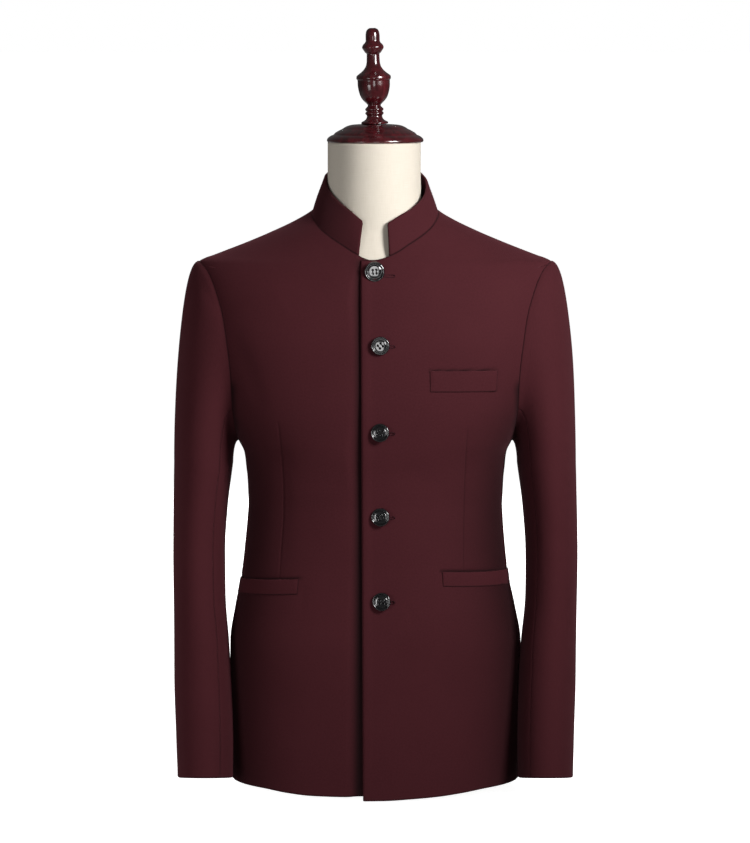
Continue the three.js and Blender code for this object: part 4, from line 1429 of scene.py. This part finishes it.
@dataclass
class Sleeves:
    """The two-piece sleeves, each a cap on the armhole that turns into a free tube."""

    surface: BodySurface
    suiting: Material
    standoff: float = 0.15
    roundness: float = 1.6
    seam_shift: float = 0.06
    pitch: float = 3.2
    cap_rows: int = 66
    cap_start: Numbers = (0, 0.006, 0.014, 0.024, 0.038, 0.056, 0.08)
    tube_length: float = 380.0
    tube_pitch: float = 3.6
    girth_radius: float = 52.0

    @staticmethod
    def tube_point(turn: Array, z: Array) -> Array:
        """The free tube: an ellipse at each height, tilted forward."""
        read = SLEEVE.at
        c, s = np.cos(np.radians(turn)), np.sin(np.radians(turn))
        lean, forward = np.radians(read("tilt", z)), read("half_y", z) * s
        x = read("x", z) + read("half_x", z) * c
        return np.stack([x, read("y", z) + forward * np.cos(lean), z - forward * np.sin(lean)], axis=-1)

    def seam(self, turn: Array) -> tuple[Array, Array, Array]:
        """The armhole's line in space, the body's normal there and the way off the hole."""
        point = self.surface.point(*self.surface.armhole(turn))
        normal = self.surface.normal(*self.surface.armhole(turn))
        ahead, behind = (self.surface.point(*self.surface.armhole(turn + d)) for d in (0.5, -0.5))
        away = unit(np.cross(unit(ahead - behind), normal))
        middle = np.array([0, 0, (SHOULDER_POINT + UNDERARM) / 2])
        facing = np.sum(away * (point - middle) * (0, 1, 1), axis=-1, keepdims=True)
        return point, normal, np.where(facing < 0, -away, away)

    def point(self, turn: Array, share: Array) -> Array:
        """The sleeve's outer face; share below 1 is the cap and above 1 the tube.

        On the cap x and y go from the seam to the tube's first ring by 1 - (1 - share)^1.6,
        and the height by share squared.

        Args:
            turn: turn round the sleeve.
            share: 0 at the armhole, 1 at the tube's first ring, 2 at the cuff.

        Returns:
            The points.
        """
        turn, share = np.broadcast_arrays(np.asarray(turn, float), np.asarray(share, float))
        down = np.clip(share - 1, 0, 1.05)
        free = self.tube_point(turn, SLEEVE_TOP_RING + (CUFF_HEIGHT - SLEEVE_TOP_RING) * down)
        seam, normal, away = self.seam(turn)
        start = seam + away * CLOTH + normal * self.standoff
        end = self.tube_point(turn, np.full(turn.shape, SLEEVE_TOP_RING))
        cap = np.clip(share, 0, 1)
        out = (1 - (1 - cap) ** self.roundness)[..., None]
        flat = start[..., :2] * (1 - out) + end[..., :2] * out
        height = start[..., 2] * (1 - cap**2) + end[..., 2] * cap**2
        head = np.concatenate([flat, height[..., None]], axis=-1)
        return np.where((share < 1)[..., None], head, free)

    def piece(
        self, hand: Hand, name: str, turns: Pair, width: float,
        creases: Creases, flat: Pair, area: float,
    ) -> None:
        """Makes one piece of a sleeve between two of its seams.

        Args:
            hand: the wearer's hand.
            name: the piece's name without the hand.
            turns: the turns of its two seams.
            width: its width across, for the spacing of its columns.
            creases: its creases, in turns and shares.
            flat: its flat size in metres.
            area: its flat area in square metres.
        """
        low, high = turns[0] + self.seam_shift, turns[1] - self.seam_shift
        turn = low + (high - low) * shares(width, self.pitch)
        cap = np.linspace(self.cap_start[-1], 1, self.cap_rows)[1:]
        tube_rows = 1 + shares(self.tube_length, self.tube_pitch)[1:]
        share = np.concatenate([self.cap_start, cap, tube_rows])[::-1]
        turn, share = np.meshgrid(turn, share)
        base = self.point(turn, share)
        normal = normal_of(self.point, turn, np.clip(share, 0.012, 1.98), 0.5, -0.01)
        move, cavity, free = Edges(Edge.FOLD, Edge.PRESSED, Edge.SET, Edge.PRESSED).relief(base)
        move = move + drape(base * (hand.value, 1, 1)) * free
        for crease in creases:
            out, dark = crease.relief(base, crease.line(self.point, self.surface))
            move, cavity = move + out * free, np.maximum(cavity, dark)
        outer = base + normal * move[..., None]
        inner = outer - normal * CLOTH
        seam, body_normal, _ = self.seam(turn[-1])
        inner[-1] = seam + body_normal * self.standoff
        up = along(base[::-1], 0)[::-1]
        uv = np.stack([np.radians(turn) * self.girth_radius, -up], axis=-1) / MM_PER_M
        label = f"{name}_{hand.word}"
        made = shell(f"jacket_{label}", outer, inner, Rim(top=0.3), self.suiting, uv, cavity, hand.value)
        held_on = (f"jacket_front_{hand.word}",)
        ClothPiece(f"jacket_{label}", label, flat, area, "hung", held_on).declare(made)

    def build(self) -> None:
        """Makes the four sleeve pieces with the creases of each."""
        tops = {
            Hand.LEFT: (
                Crease(((-50, 0.10), (-36, 0.18), (-28, 0.25)), 6.0, -0.7),
                Crease(((-106, 1.16), (-80, 1.24), (-40, 1.28)), 11.0, -0.6),
            ),
            Hand.RIGHT: (
                Crease(((-56, 0.08), (-38, 0.18), (-20, 0.36)), 7.0, -1.2),
                Crease(((-38, 0.10), (-24, 0.20)), 5.0, -0.8),
                Crease(((-110, 1.08), (-106, 1.3), (-108, 1.5)), 11.0, -0.6),
                Crease(((-104, 1.18), (-84, 1.26), (-44, 1.29)), 11.0, -0.5),
            ),
        }
        common = (
            Crease(((30, 1.12), (62, 1.2), (104, 1.18)), 10.0, -1.1),
            Crease(((44, 1.3), (90, 1.27)), 9.0, -0.8),
        )
        unders = (
            # painted shade along the armhole seam of the under sleeve
            tone(((124, 0.0), (180, 0.0), (230, 0.0)), 9.0, 0.35),
            Crease(((132, 1.14), (150, 1.18), (172, 1.16)), 10.0, -1.0),
            Crease(((136, 1.27), (166, 1.3)), 10.0, -0.8),
            Crease(((138, 0.9), (166, 0.97)), 9.0, -0.8),
        )
        # painted shade down the inner edge of the wearer's left sleeve
        shades = {
            Hand.LEFT: (tone(((184, 0.2), (182, 1.0), (182, 2.0)), 46.0, 0.95),),
            Hand.RIGHT: (),
        }
        outside, inside = (SLEEVE_FRONT_TURN, BACK_TURN), (BACK_TURN, SLEEVE_FRONT_TURN + 360)
        for hand in Hand:
            top, under = tops[hand] + common + shades[hand], unders + shades[hand]
            self.piece(hand, "top_sleeve", outside, 225, top, (0.25, 0.66), 0.115)
            self.piece(hand, "under_sleeve", inside, 118, under, (0.14, 0.50), 0.050)


# ---- pockets


@dataclass(frozen=True)
class Welt:
    """One welted pocket: its ends as angles, the heights of their middles, and its height."""

    name: str
    hand: Hand
    start: float
    end: float
    start_z: float
    end_z: float
    height: float
    flat: Pair
    puff: float = 1.1
    side_fall: float = 0.0
    seat: float = 0.45
    groove: float = 0.28
    thickness: float = 1.2
    trimmed: float = 0.98
    near_foot: Numbers = (0.5, 1.1, 1.9, 3.0)
    foot_gap: float = 0.05

    def build(self, surface: BodySurface, suiting: Material) -> None:
        """Makes the welt: sewn down at its foot and ends, and folded over at its mouth.

        Its lift is the seat plus the puff times a rise over the height and a fall at both ends,
        less a groove beside each end.

        Args:
            surface: the body that it lies on.
            suiting: its finish.
        """
        length = self.flat[0] * MM_PER_M
        across, up = np.meshgrid(shares(length, 2.4), shares(self.height, 1.2, self.near_foot))
        angle = self.start + (self.end - self.start) * across
        z = self.start_z + (self.end_z - self.start_z) * across + (up - 0.5) * self.height
        base, normal = surface.point(angle, z), surface.normal(angle, z)
        ends = np.minimum(across, 1 - across) * length
        lift = self.seat + self.puff * smooth_step(up, -0.2, 0.8) * smooth_step(ends, -1.0, 3.2)
        lift = lift - self.groove * hump(ends - 2.2, 0.7)
        lift = lift * (1 - self.side_fall * smooth_step(across, 0.72, 1.0))
        _, cavity, _ = Edges(Edge.SEAM, Edge.PLAIN, Edge.FOLD, Edge.PLAIN).relief(base)
        level = drape(base * (self.hand.value, 1, 1))
        outer = base + normal * (level + lift + self.foot_gap)[..., None]
        inner = base + normal * (level + np.maximum(lift - self.thickness, 0.0))[..., None]
        # painted shade at the welt's sewn ends, in the grooves beside them
        cavity = np.maximum(cavity, 0.7 * hump(ends, 0.8))
        uv = surface.cloth_map(angle, z)
        name, rim = f"jacket_{self.name}", Rim(0.1, 0.2, 0.6, 0.2)
        made = shell(name, outer, inner, rim, suiting, uv, cavity, self.hand.value)
        area = self.flat[0] * self.flat[1] * self.trimmed
        held_on = (f"jacket_front_{self.hand.word}",)
        ClothPiece(name, self.name, self.flat, area, "draped", held_on).declare(made)


# ---- buttons


BUTTON_BACK = np.array([(0.0, 0.0), (0.55, 0.0), (0.8, 0.02), (0.93, 0.16), (0.985, 0.36), (1.0, 0.6)])
BUTTON_FACE = Table(
    ("r", "h"),
    (
        (0, 0.70), (0.3, 0.695), (0.5, 0.675), (0.6, 0.65), (0.66, 0.56), (0.71, 0.50), (0.75, 0.54),
        (0.80, 0.78), (0.85, 0.96), (0.89, 1.0), (0.94, 0.95), (0.98, 0.8), (1.0, 0.6),
    ),
)


@dataclass(frozen=True)
class Button:
    """One four-hole button with its shank, stitches and buttonhole."""

    number: int
    x: float
    z: float
    radius: float
    turn: float
    tilt: Pair
    drop: float
    thickness: float = 4.2
    hole: float = 1.05
    spread: float = 2.15
    standoff: float = 1.6
    hole_end: float = 23.4
    sides: int = 72
    press: float = 1.9
    strands: Triple = (-0.38, 0.0, 0.38)
    strand_radius: float = 0.27
    strand_sides: int = 8
    strand_points: int = 17
    strand_depth: float = 1.3
    strand_height: float = 1.75
    strand_reach: float = 1.06
    shank_radius: float = 2.1
    shank_points: int = 9
    hole_points: int = 260
    hole_stitches: int = 48
    hole_half_height: float = 1.35
    hole_fall: float = 0.04
    hole_powers: Pair = (0.28, 0.75)
    hole_thread: Pair = (0.52, 0.16)
    hole_lift: float = 0.42

    def frame_at(self, surface: BodySurface) -> tuple[Array, Array, Array, Array]:
        """The button's place and its three directions: across, up and out."""
        angle = float(surface.angle_at_x(self.x, self.z))
        place = surface.point(np.array(angle), np.array(self.z))
        out = unit(surface.normal(angle, self.z) + np.array([self.tilt[0], 0, self.tilt[1]]))
        across = unit(np.cross(np.array([0, 0, -1.0]), out)) * -1
        up = np.cross(out, across)
        turn = math.radians(self.turn)
        turned = across * math.cos(turn) + up * math.sin(turn)
        return place, turned, np.cross(out, turned), out

    def face(self) -> tuple[Array, Array, Array]:
        """The button's half section carried round, with four holes pressed into it.

        The height is a table over the radius. Each hole takes away its depth times a step
        down over its own radius.

        Returns:
            x, y and height of the rings, from the back's middle to the face's.
        """
        radii = np.concatenate([np.linspace(0.999, 0.62, 22), np.linspace(0.6, 0.004, 30), [0.0]])
        r = np.concatenate([BUTTON_BACK[:, 0], radii])
        h = np.concatenate([BUTTON_BACK[:, 1], BUTTON_FACE.at("h", radii)])
        turn = np.linspace(0, 2 * np.pi, self.sides, endpoint=False)
        x = self.radius * r[:, None] * np.cos(turn)
        y = self.radius * r[:, None] * np.sin(turn)
        height = np.repeat(self.thickness * h[:, None], len(turn), axis=1)
        on_face = (np.arange(len(r)) >= len(BUTTON_BACK))[:, None]
        for sx in (-1, 1):
            for sy in (-1, 1):
                far = np.hypot(x - sx * self.spread, y - sy * self.spread)
                pressed = 1 - smooth_step(far, self.hole * 0.7, self.hole * 1.25)
                height = height - on_face * self.press * pressed
        return x, y, height

    def build(self, surface: BodySurface, resin: Material, thread: Material, stitch: Material) -> None:
        """Makes the button, the threads through it and the buttonhole's stitched edge.

        Args:
            surface: the body's surface.
            resin: finish of the button.
            thread: finish of the thread through it.
            stitch: finish of the buttonhole's thread.
        """
        place, across, up, out = self.frame_at(surface)
        x, y, height = self.face()
        lift = self.standoff + height
        grid = place + x[..., None] * across + y[..., None] * up + lift[..., None] * out
        made = closed_surface(f"coat_button_{self.number}", grid, resin)
        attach(made, "root")
        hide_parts(f"button_{self.number}")
        self.threads(place, across, up, out, thread)
        self.buttonhole(surface, stitch)
        LOG.info("%s: radius %.1f mm", made.name, self.radius)

    def threads(self, place: Array, across: Array, up: Array, out: Array, thread: Material) -> None:
        """Two stitches over the face and the shank of thread behind it."""
        t = np.linspace(0, 1, self.strand_points)
        start = self.standoff + self.thickness * float(BUTTON_FACE.at("h", 0)) - self.strand_depth
        rise = start + self.strand_height * np.sin(np.pi * t) ** 0.5
        side = (t * 2 - 1) * self.spread * self.strand_reach
        tubes = []
        for offset in (sx * self.spread + k for sx in (-1, 1) for k in self.strands):
            path = place + offset * across + side[:, None] * up + rise[:, None] * out
            tubes.append(tube(path, np.full(len(t), self.strand_radius), self.strand_sides, False))
        way = np.linspace(0, 1, self.shank_points)
        shank = place + np.linspace(-0.4, self.standoff + 0.8, self.shank_points)[:, None] * out
        tubes.append(tube(shank, self.shank_radius - 0.5 * np.sin(np.pi * way), 20, False))
        parts, faces, count = [], [], 0
        for points, quads in tubes:
            parts.append(points)
            faces.append(quads + count)
            count += len(points)
        made = make_object(f"button_thread_{self.number}", np.concatenate(parts), faces, thread)
        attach(made, "root")

    def buttonhole(self, surface: BodySurface, stitch: Material) -> None:
        """A stitched oblong: a tube round the slit whose radius beats once a stitch.

        The slit lies level from under the button towards the wearer's left.

        Args:
            surface: the body's surface.
            stitch: finish of the thread.
        """
        turn = np.linspace(0, 2 * np.pi, self.hole_points, endpoint=False)
        half, wide = (self.hole_end - self.x) / 2, self.hole_half_height
        c, s = np.cos(turn), np.sin(turn)
        x_power, z_power = self.hole_powers
        x = self.x + half + np.sign(c) * np.abs(c) ** x_power * half
        z = self.z - self.drop - self.hole_fall * (x - self.x) + np.sign(s) * np.abs(s) ** z_power * wide
        angle = surface.angle_at_x(x, z)
        thick, beat = self.hole_thread
        radius = thick + beat * np.sin(turn * self.hole_stitches)
        path = surface.point(angle, z) + surface.normal(angle, z) * self.hole_lift
        points, quads = tube(path, radius, self.strand_sides, True)
        made = make_object(f"buttonhole_{self.number}", points, [quads], stitch)
        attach(made, "root")


# ---- the dress form


@dataclass
class DressForm:
    """The padded torso under linen, its wooden base, neck cap and finial."""

    linen: Material
    wood: Material
    sides: int = 120
    girth_radius: float = 60.0
    shoulder: Pair = (640.0, 644.0)
    rings: int = 70
    clearance: Table = Table(
        ("z", "half", "front", "back"),
        (
            (22, 10, 9.5, 9.5), (430, 10, 9.5, 9.5), (480, 10, 9, 9.5), (540, 10, 9, 9.5),
            (600, 10, 9, 9.5), (625, 11, 9, 10), (638, 15, 8.5, 10), (648, 22, 8, 10),
            (660, 18, 7, 11), (675, 18, 6.5, 14),
        ),
    )
    waist_rows: Numbers = (90, 180, 225, 262, 295, 350, 380, 400, 414)
    neck: Rows = (
        (688, 92, 68.3, 70, 1.7, 0), (698, 72, 68.3, 62, 1.8, 0), (708, 61.5, 68.3, 56.5, 1.95, -0.4),
        (722, 57, 68.5, 53, 2.0, -0.9), (750, 56.4, 68.5, 52.5, 2.0, -1.2),
        (NECK_TOP, 56.4, 68.5, 52.5, 2.0, -1.2),
    )
    cap: Rows = (
        (57.0, 0.3), (57.9, 0.9), (58.5, 2.0), (58.3, 3.4), (57.2, 5.2), (55.2, 6.9), (52.6, 8.3),
        (50.8, 9.0), (49.8, 9.9), (48.4, 11.4), (45.8, 13.0), (42.4, 14.9), (39.6, 16.2), (38.2, 17.2),
        (36.4, 18.3), (33.4, 19.7), (28.3, 21.0), (20.0, 21.6), (8.0, 21.7),
    )
    finial: Rows = (
        (8.0, 21.9), (15.4, 22.2), (16.4, 23.4), (15.6, 24.8), (13.1, 26.0), (10.4, 28.4), (9.2, 31.8),
        (10.4, 33.6), (11.2, 34.8), (10.6, 36.3), (9.5, 37.3), (10.8, 38.6), (11.1, 40.0), (9.4, 42.2),
        (7.7, 44.4), (9.2, 46.6), (12.5, 49.9), (15.0, 53.0), (16.8, 56.6), (18.8, 64), (19.5, 70),
        (19.5, 74.6), (20.9, 77.1), (20.8, 79.4), (18.6, 81.8), (15.4, 84.2), (11.4, 88.2), (8.9, 92.6),
        (8.0, 97.5), (7.7, 106.3), (9.6, 108.2), (11.0, 110.4), (13.1, 114.5), (12.0, 117.4),
        (9.4, 120.2), (8.5, 122.5), (8.5, 128.0), (8.0, 132.4), (6.3, 135.9), (3.4, 137.6),
    )

    def ring_sizes(self) -> Table:
        """The form's sections: the jacket's less the clearances, then the neck's own."""
        rows = list(self.neck)
        below = tuple((z, *self.clearance.rows[0][1:]) for z in self.waist_rows)
        for z, half, front, back in self.clearance.rows + below:
            sizes = [float(BODY.at(c, z)) for c in ("half", "front", "back", "power")]
            rows.append((z, sizes[0] - half, sizes[1] - front, sizes[2] - back, sizes[3], 0.0))
        return Table(("z", "half", "front", "back", "power", "shift"), tuple(sorted(rows)))

    def torso(self) -> None:
        """Makes the torso and neck from level rings."""
        sizes = self.ring_sizes()
        foot, (low, high) = sizes.rows[0][0], self.shoulder
        below, above = np.linspace(foot, low, self.rings), np.linspace(high, NECK_TOP, self.rings)
        z = np.concatenate([[foot], below, above, [NECK_TOP]])
        level, turn = z[:, None], np.linspace(0, 360, self.sides, endpoint=False)[None, :]
        *section, shift = (sizes.at(name, level) for name in sizes.columns[1:])
        grid = oval_point(*section, turn, level, shift)
        grid[[0, -1], :, :2] = (0.0, NECK_MIDDLE_Y)
        uv = np.stack(np.broadcast_arrays(np.radians(turn) * self.girth_radius, level), axis=-1) / MM_PER_M
        made = closed_surface("form_torso", grid, self.linen, uv)
        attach(made, "root")
        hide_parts("form_body")
        LOG.info("%s: padded, firm", made.name)

    def turned(self, name: str, node: str, profile: Rows, lean: float) -> None:
        """A turned piece: its half section on a smooth curve, carried round.

        Args:
            name: the piece's name.
            node: the node that it stands for.
            profile: radius and height above the neck.
            lean: how far it leans, in degrees.
        """
        rows = np.asarray(profile, float)
        way = np.concatenate([[0], np.cumsum(np.hypot(*np.diff(rows, axis=0).T))])
        section = Table(("way", "r", "h"), tuple(map(tuple, np.column_stack([way, rows]))))
        t = np.linspace(0, way[-1], len(rows) * 5)
        r, h = section.at("r", t), section.at("h", t)
        r, h = np.concatenate([[0], r, [0]]), np.concatenate([h[:1], h, h[-1:]])
        turn = np.linspace(0, 2 * np.pi, TURNED_SIDES, endpoint=False)
        x, y = r[:, None] * np.cos(turn), r[:, None] * np.sin(turn)
        z = np.repeat(h[:, None], len(turn), axis=1)
        c, s = math.cos(math.radians(lean)), math.sin(math.radians(lean))
        grid = np.stack([x * c + z * s, y + NECK_MIDDLE_Y, z * c - x * s + NECK_TOP], axis=-1)
        made = closed_surface(name, grid, self.wood)
        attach(made, "root")
        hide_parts(node)
        LOG.info("%s: turned, %.0f mm high", name, h.max())

    def build(self) -> None:
        """Makes the torso and the turned pieces, and finishes the base."""
        self.torso()
        self.turned("form_cap", "neck_cap", self.cap, 0.0)
        self.turned("form_finial", "neck_finial", self.finial, FINIAL_LEAN)
        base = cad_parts["form_base"]
        base.data.materials.clear()
        base.data.materials.append(self.wood)


# ---- studio


@dataclass(frozen=True)
class SoftBox:
    """A rectangular light: its place, aim and size in metres, its watts and its spread in degrees."""

    name: str
    place: Triple
    aim: Triple
    size: Pair
    power: float
    spread: float
    mirrored: bool = True

    def build(self) -> None:
        """Adds the light, turned to its aim; one that isn't mirrored leaves no glare."""
        data = bpy.data.lights.new(self.name, "AREA")
        data.shape = "RECTANGLE"
        data.size, data.size_y = self.size
        data.energy = self.power
        data.spread = math.radians(self.spread)
        lamp = bpy.data.objects.new(self.name, data)
        lamp.location = self.place
        lamp.rotation_euler = (Vector(self.aim) - Vector(self.place)).to_track_quat("-Z", "Y").to_euler()
        lamp.visible_glossy = self.mirrored
        bpy.context.scene.collection.objects.link(lamp)


@dataclass
class Studio:
    """The floor, the soft lights, the sky and the camera."""

    target: Triple = (-0.00024, 0.0, 0.449)
    distance: float = 5.0
    elevation: float = 6.0
    lens: float = 175.0
    sensor: float = 36.0
    clip: Pair = (0.1, 200.0)
    sky_strength: float = 0.09
    floor_radius: float = 60.0
    floor_level: float = -0.05
    lights: tuple[SoftBox, ...] = (
        SoftBox("key", (1.1, -1.12, 1.2), (0.08, 0.0, 0.70), (0.55, 0.55), 8.8, 90),
        SoftBox("card", (0.15, -3.0, 0.6), (0.0, 0.0, 0.45), (0.55, 0.75), 5.0, 170),
        SoftBox("fill", (-1.1, -1.6, 0.35), (-0.22, 0.0, 0.12), (0.6, 0.6), 1.5, 70),
        SoftBox("side", (-2.7, 0.25, 0.9), (0.0, 0.0, 0.45), (1.2, 1.2), 6.0, 160, False),
        SoftBox("rear", (0.0, 2.9, 1.4), (0.0, 0.0, 0.45), (1.4, 1.4), 58, 160, False),
    )

    def floor(self) -> None:
        """A wide round sheet of white paper under the stand."""
        radius = np.geomspace(0.2, self.floor_radius, 24)[:, None] * MM_PER_M
        turn = np.linspace(0, 2 * np.pi, TURNED_SIDES, endpoint=False)
        x, y = radius * np.cos(turn), radius * np.sin(turn)
        rings = np.stack([x, y, np.full_like(x, self.floor_level)], axis=-1)
        points = np.concatenate([rings.reshape(-1, 3), [[0, 0, self.floor_level]]])
        index = np.arange(x.size).reshape(x.shape)
        wrapped = np.concatenate([index, index[:, :1]], axis=1)
        middle = np.stack([np.full(TURNED_SIDES, x.size), index[0], np.roll(index[0], -1)], axis=-1)
        faces = [grid_faces(wrapped)[:, ::-1], middle]
        make_object("studio_floor", points, faces, StudioFloor().material())

    def sky(self) -> None:
        """A plain white world, weaker for the light it gives than it looks."""
        world = bpy.data.worlds.new("studio")
        world.use_nodes = True
        nodes, links = world.node_tree.nodes, world.node_tree.links
        shade = next(n for n in nodes if n.type == "BACKGROUND")
        shade.inputs["Color"].default_value = colour(1, 1, 1)
        path = nodes.new("ShaderNodeLightPath")
        span = nodes.new("ShaderNodeMapRange")
        span.inputs["To Min"].default_value = self.sky_strength
        span.inputs["To Max"].default_value = 1.0
        links.new(path.outputs["Is Camera Ray"], span.inputs["Value"])
        links.new(span.outputs[0], shade.inputs["Strength"])
        bpy.context.scene.world = world

    def camera(self) -> None:
        """The camera, a little above the waist and far off."""
        data = bpy.data.cameras.new("view")
        data.lens = self.lens
        data.sensor_width = self.sensor
        tilt = math.radians(self.elevation)
        made = bpy.data.objects.new("view", data)
        target = Vector(self.target)
        made.location = target + self.distance * Vector((0, -math.cos(tilt), math.sin(tilt)))
        made.rotation_euler = (math.radians(90) - tilt, 0, 0)
        data.clip_start, data.clip_end = self.clip
        bpy.context.scene.collection.objects.link(made)
        bpy.context.scene.camera = made

    def build(self) -> None:
        """Makes the whole studio."""
        self.floor()
        self.sky()
        for box in self.lights:
            box.build()
        scene = bpy.context.scene
        scene.view_settings.view_transform = "Standard"
        scene.view_settings.look = "None"


# ---- assembly

WELTS = (
    Welt("breast_welt", Hand.LEFT, -61.5, -33, 509, 507.5, 24.5, (0.084, 0.0245), 0.9),
    Welt("hip_welt_left", Hand.LEFT, -51.7, 1, 269, 260.7, 16.8, (0.147, 0.0168), 1.1, 0.6),
    Welt("hip_welt_right", Hand.RIGHT, -47, 1, 259.5, 248.6, 17.6, (0.136, 0.0176), 1.1, 0.6),
)
BUTTONS = (
    Button(1, -0.9, 638.8, 12.1, 4, (0.04, -0.40), 4.6),
    Button(2, 5.9, 551.9, 11.1, 38, (0.03, -0.08), 0.6),
    Button(3, 6.3, 448.3, 11.1, -12, (-0.155, 0.18), 0.6),
    Button(4, 6.8, 345.3, 11.1, 30, (-0.165, 0.085), 0.4),
    Button(5, 8.2, 244.1, 11.1, 5, (-0.170, -0.005), 0.4),
)


def main() -> None:
    """Builds the jacket, the form and the studio, in that order."""
    logging.basicConfig(level=logging.INFO, format="%(name)s %(message)s")
    suiting, thread = Suiting().material(), SewingThread().material()
    dark = SewingThread("black_thread", BLACK_THREAD).material()
    surface = BodySurface()
    studio = Studio()
    studio.camera()
    BodyPanels(surface, suiting).build()
    Collar(surface, suiting).build()
    Sleeves(surface, suiting).build()
    for welt in WELTS:
        welt.build(surface, suiting)
    resin = Resin().material()
    for button in BUTTONS:
        button.build(surface, resin, dark, thread)
    DressForm(Linen().material(), PolishedWood().material()).build()
    studio.build()


if __name__ == "__main__":
    main()
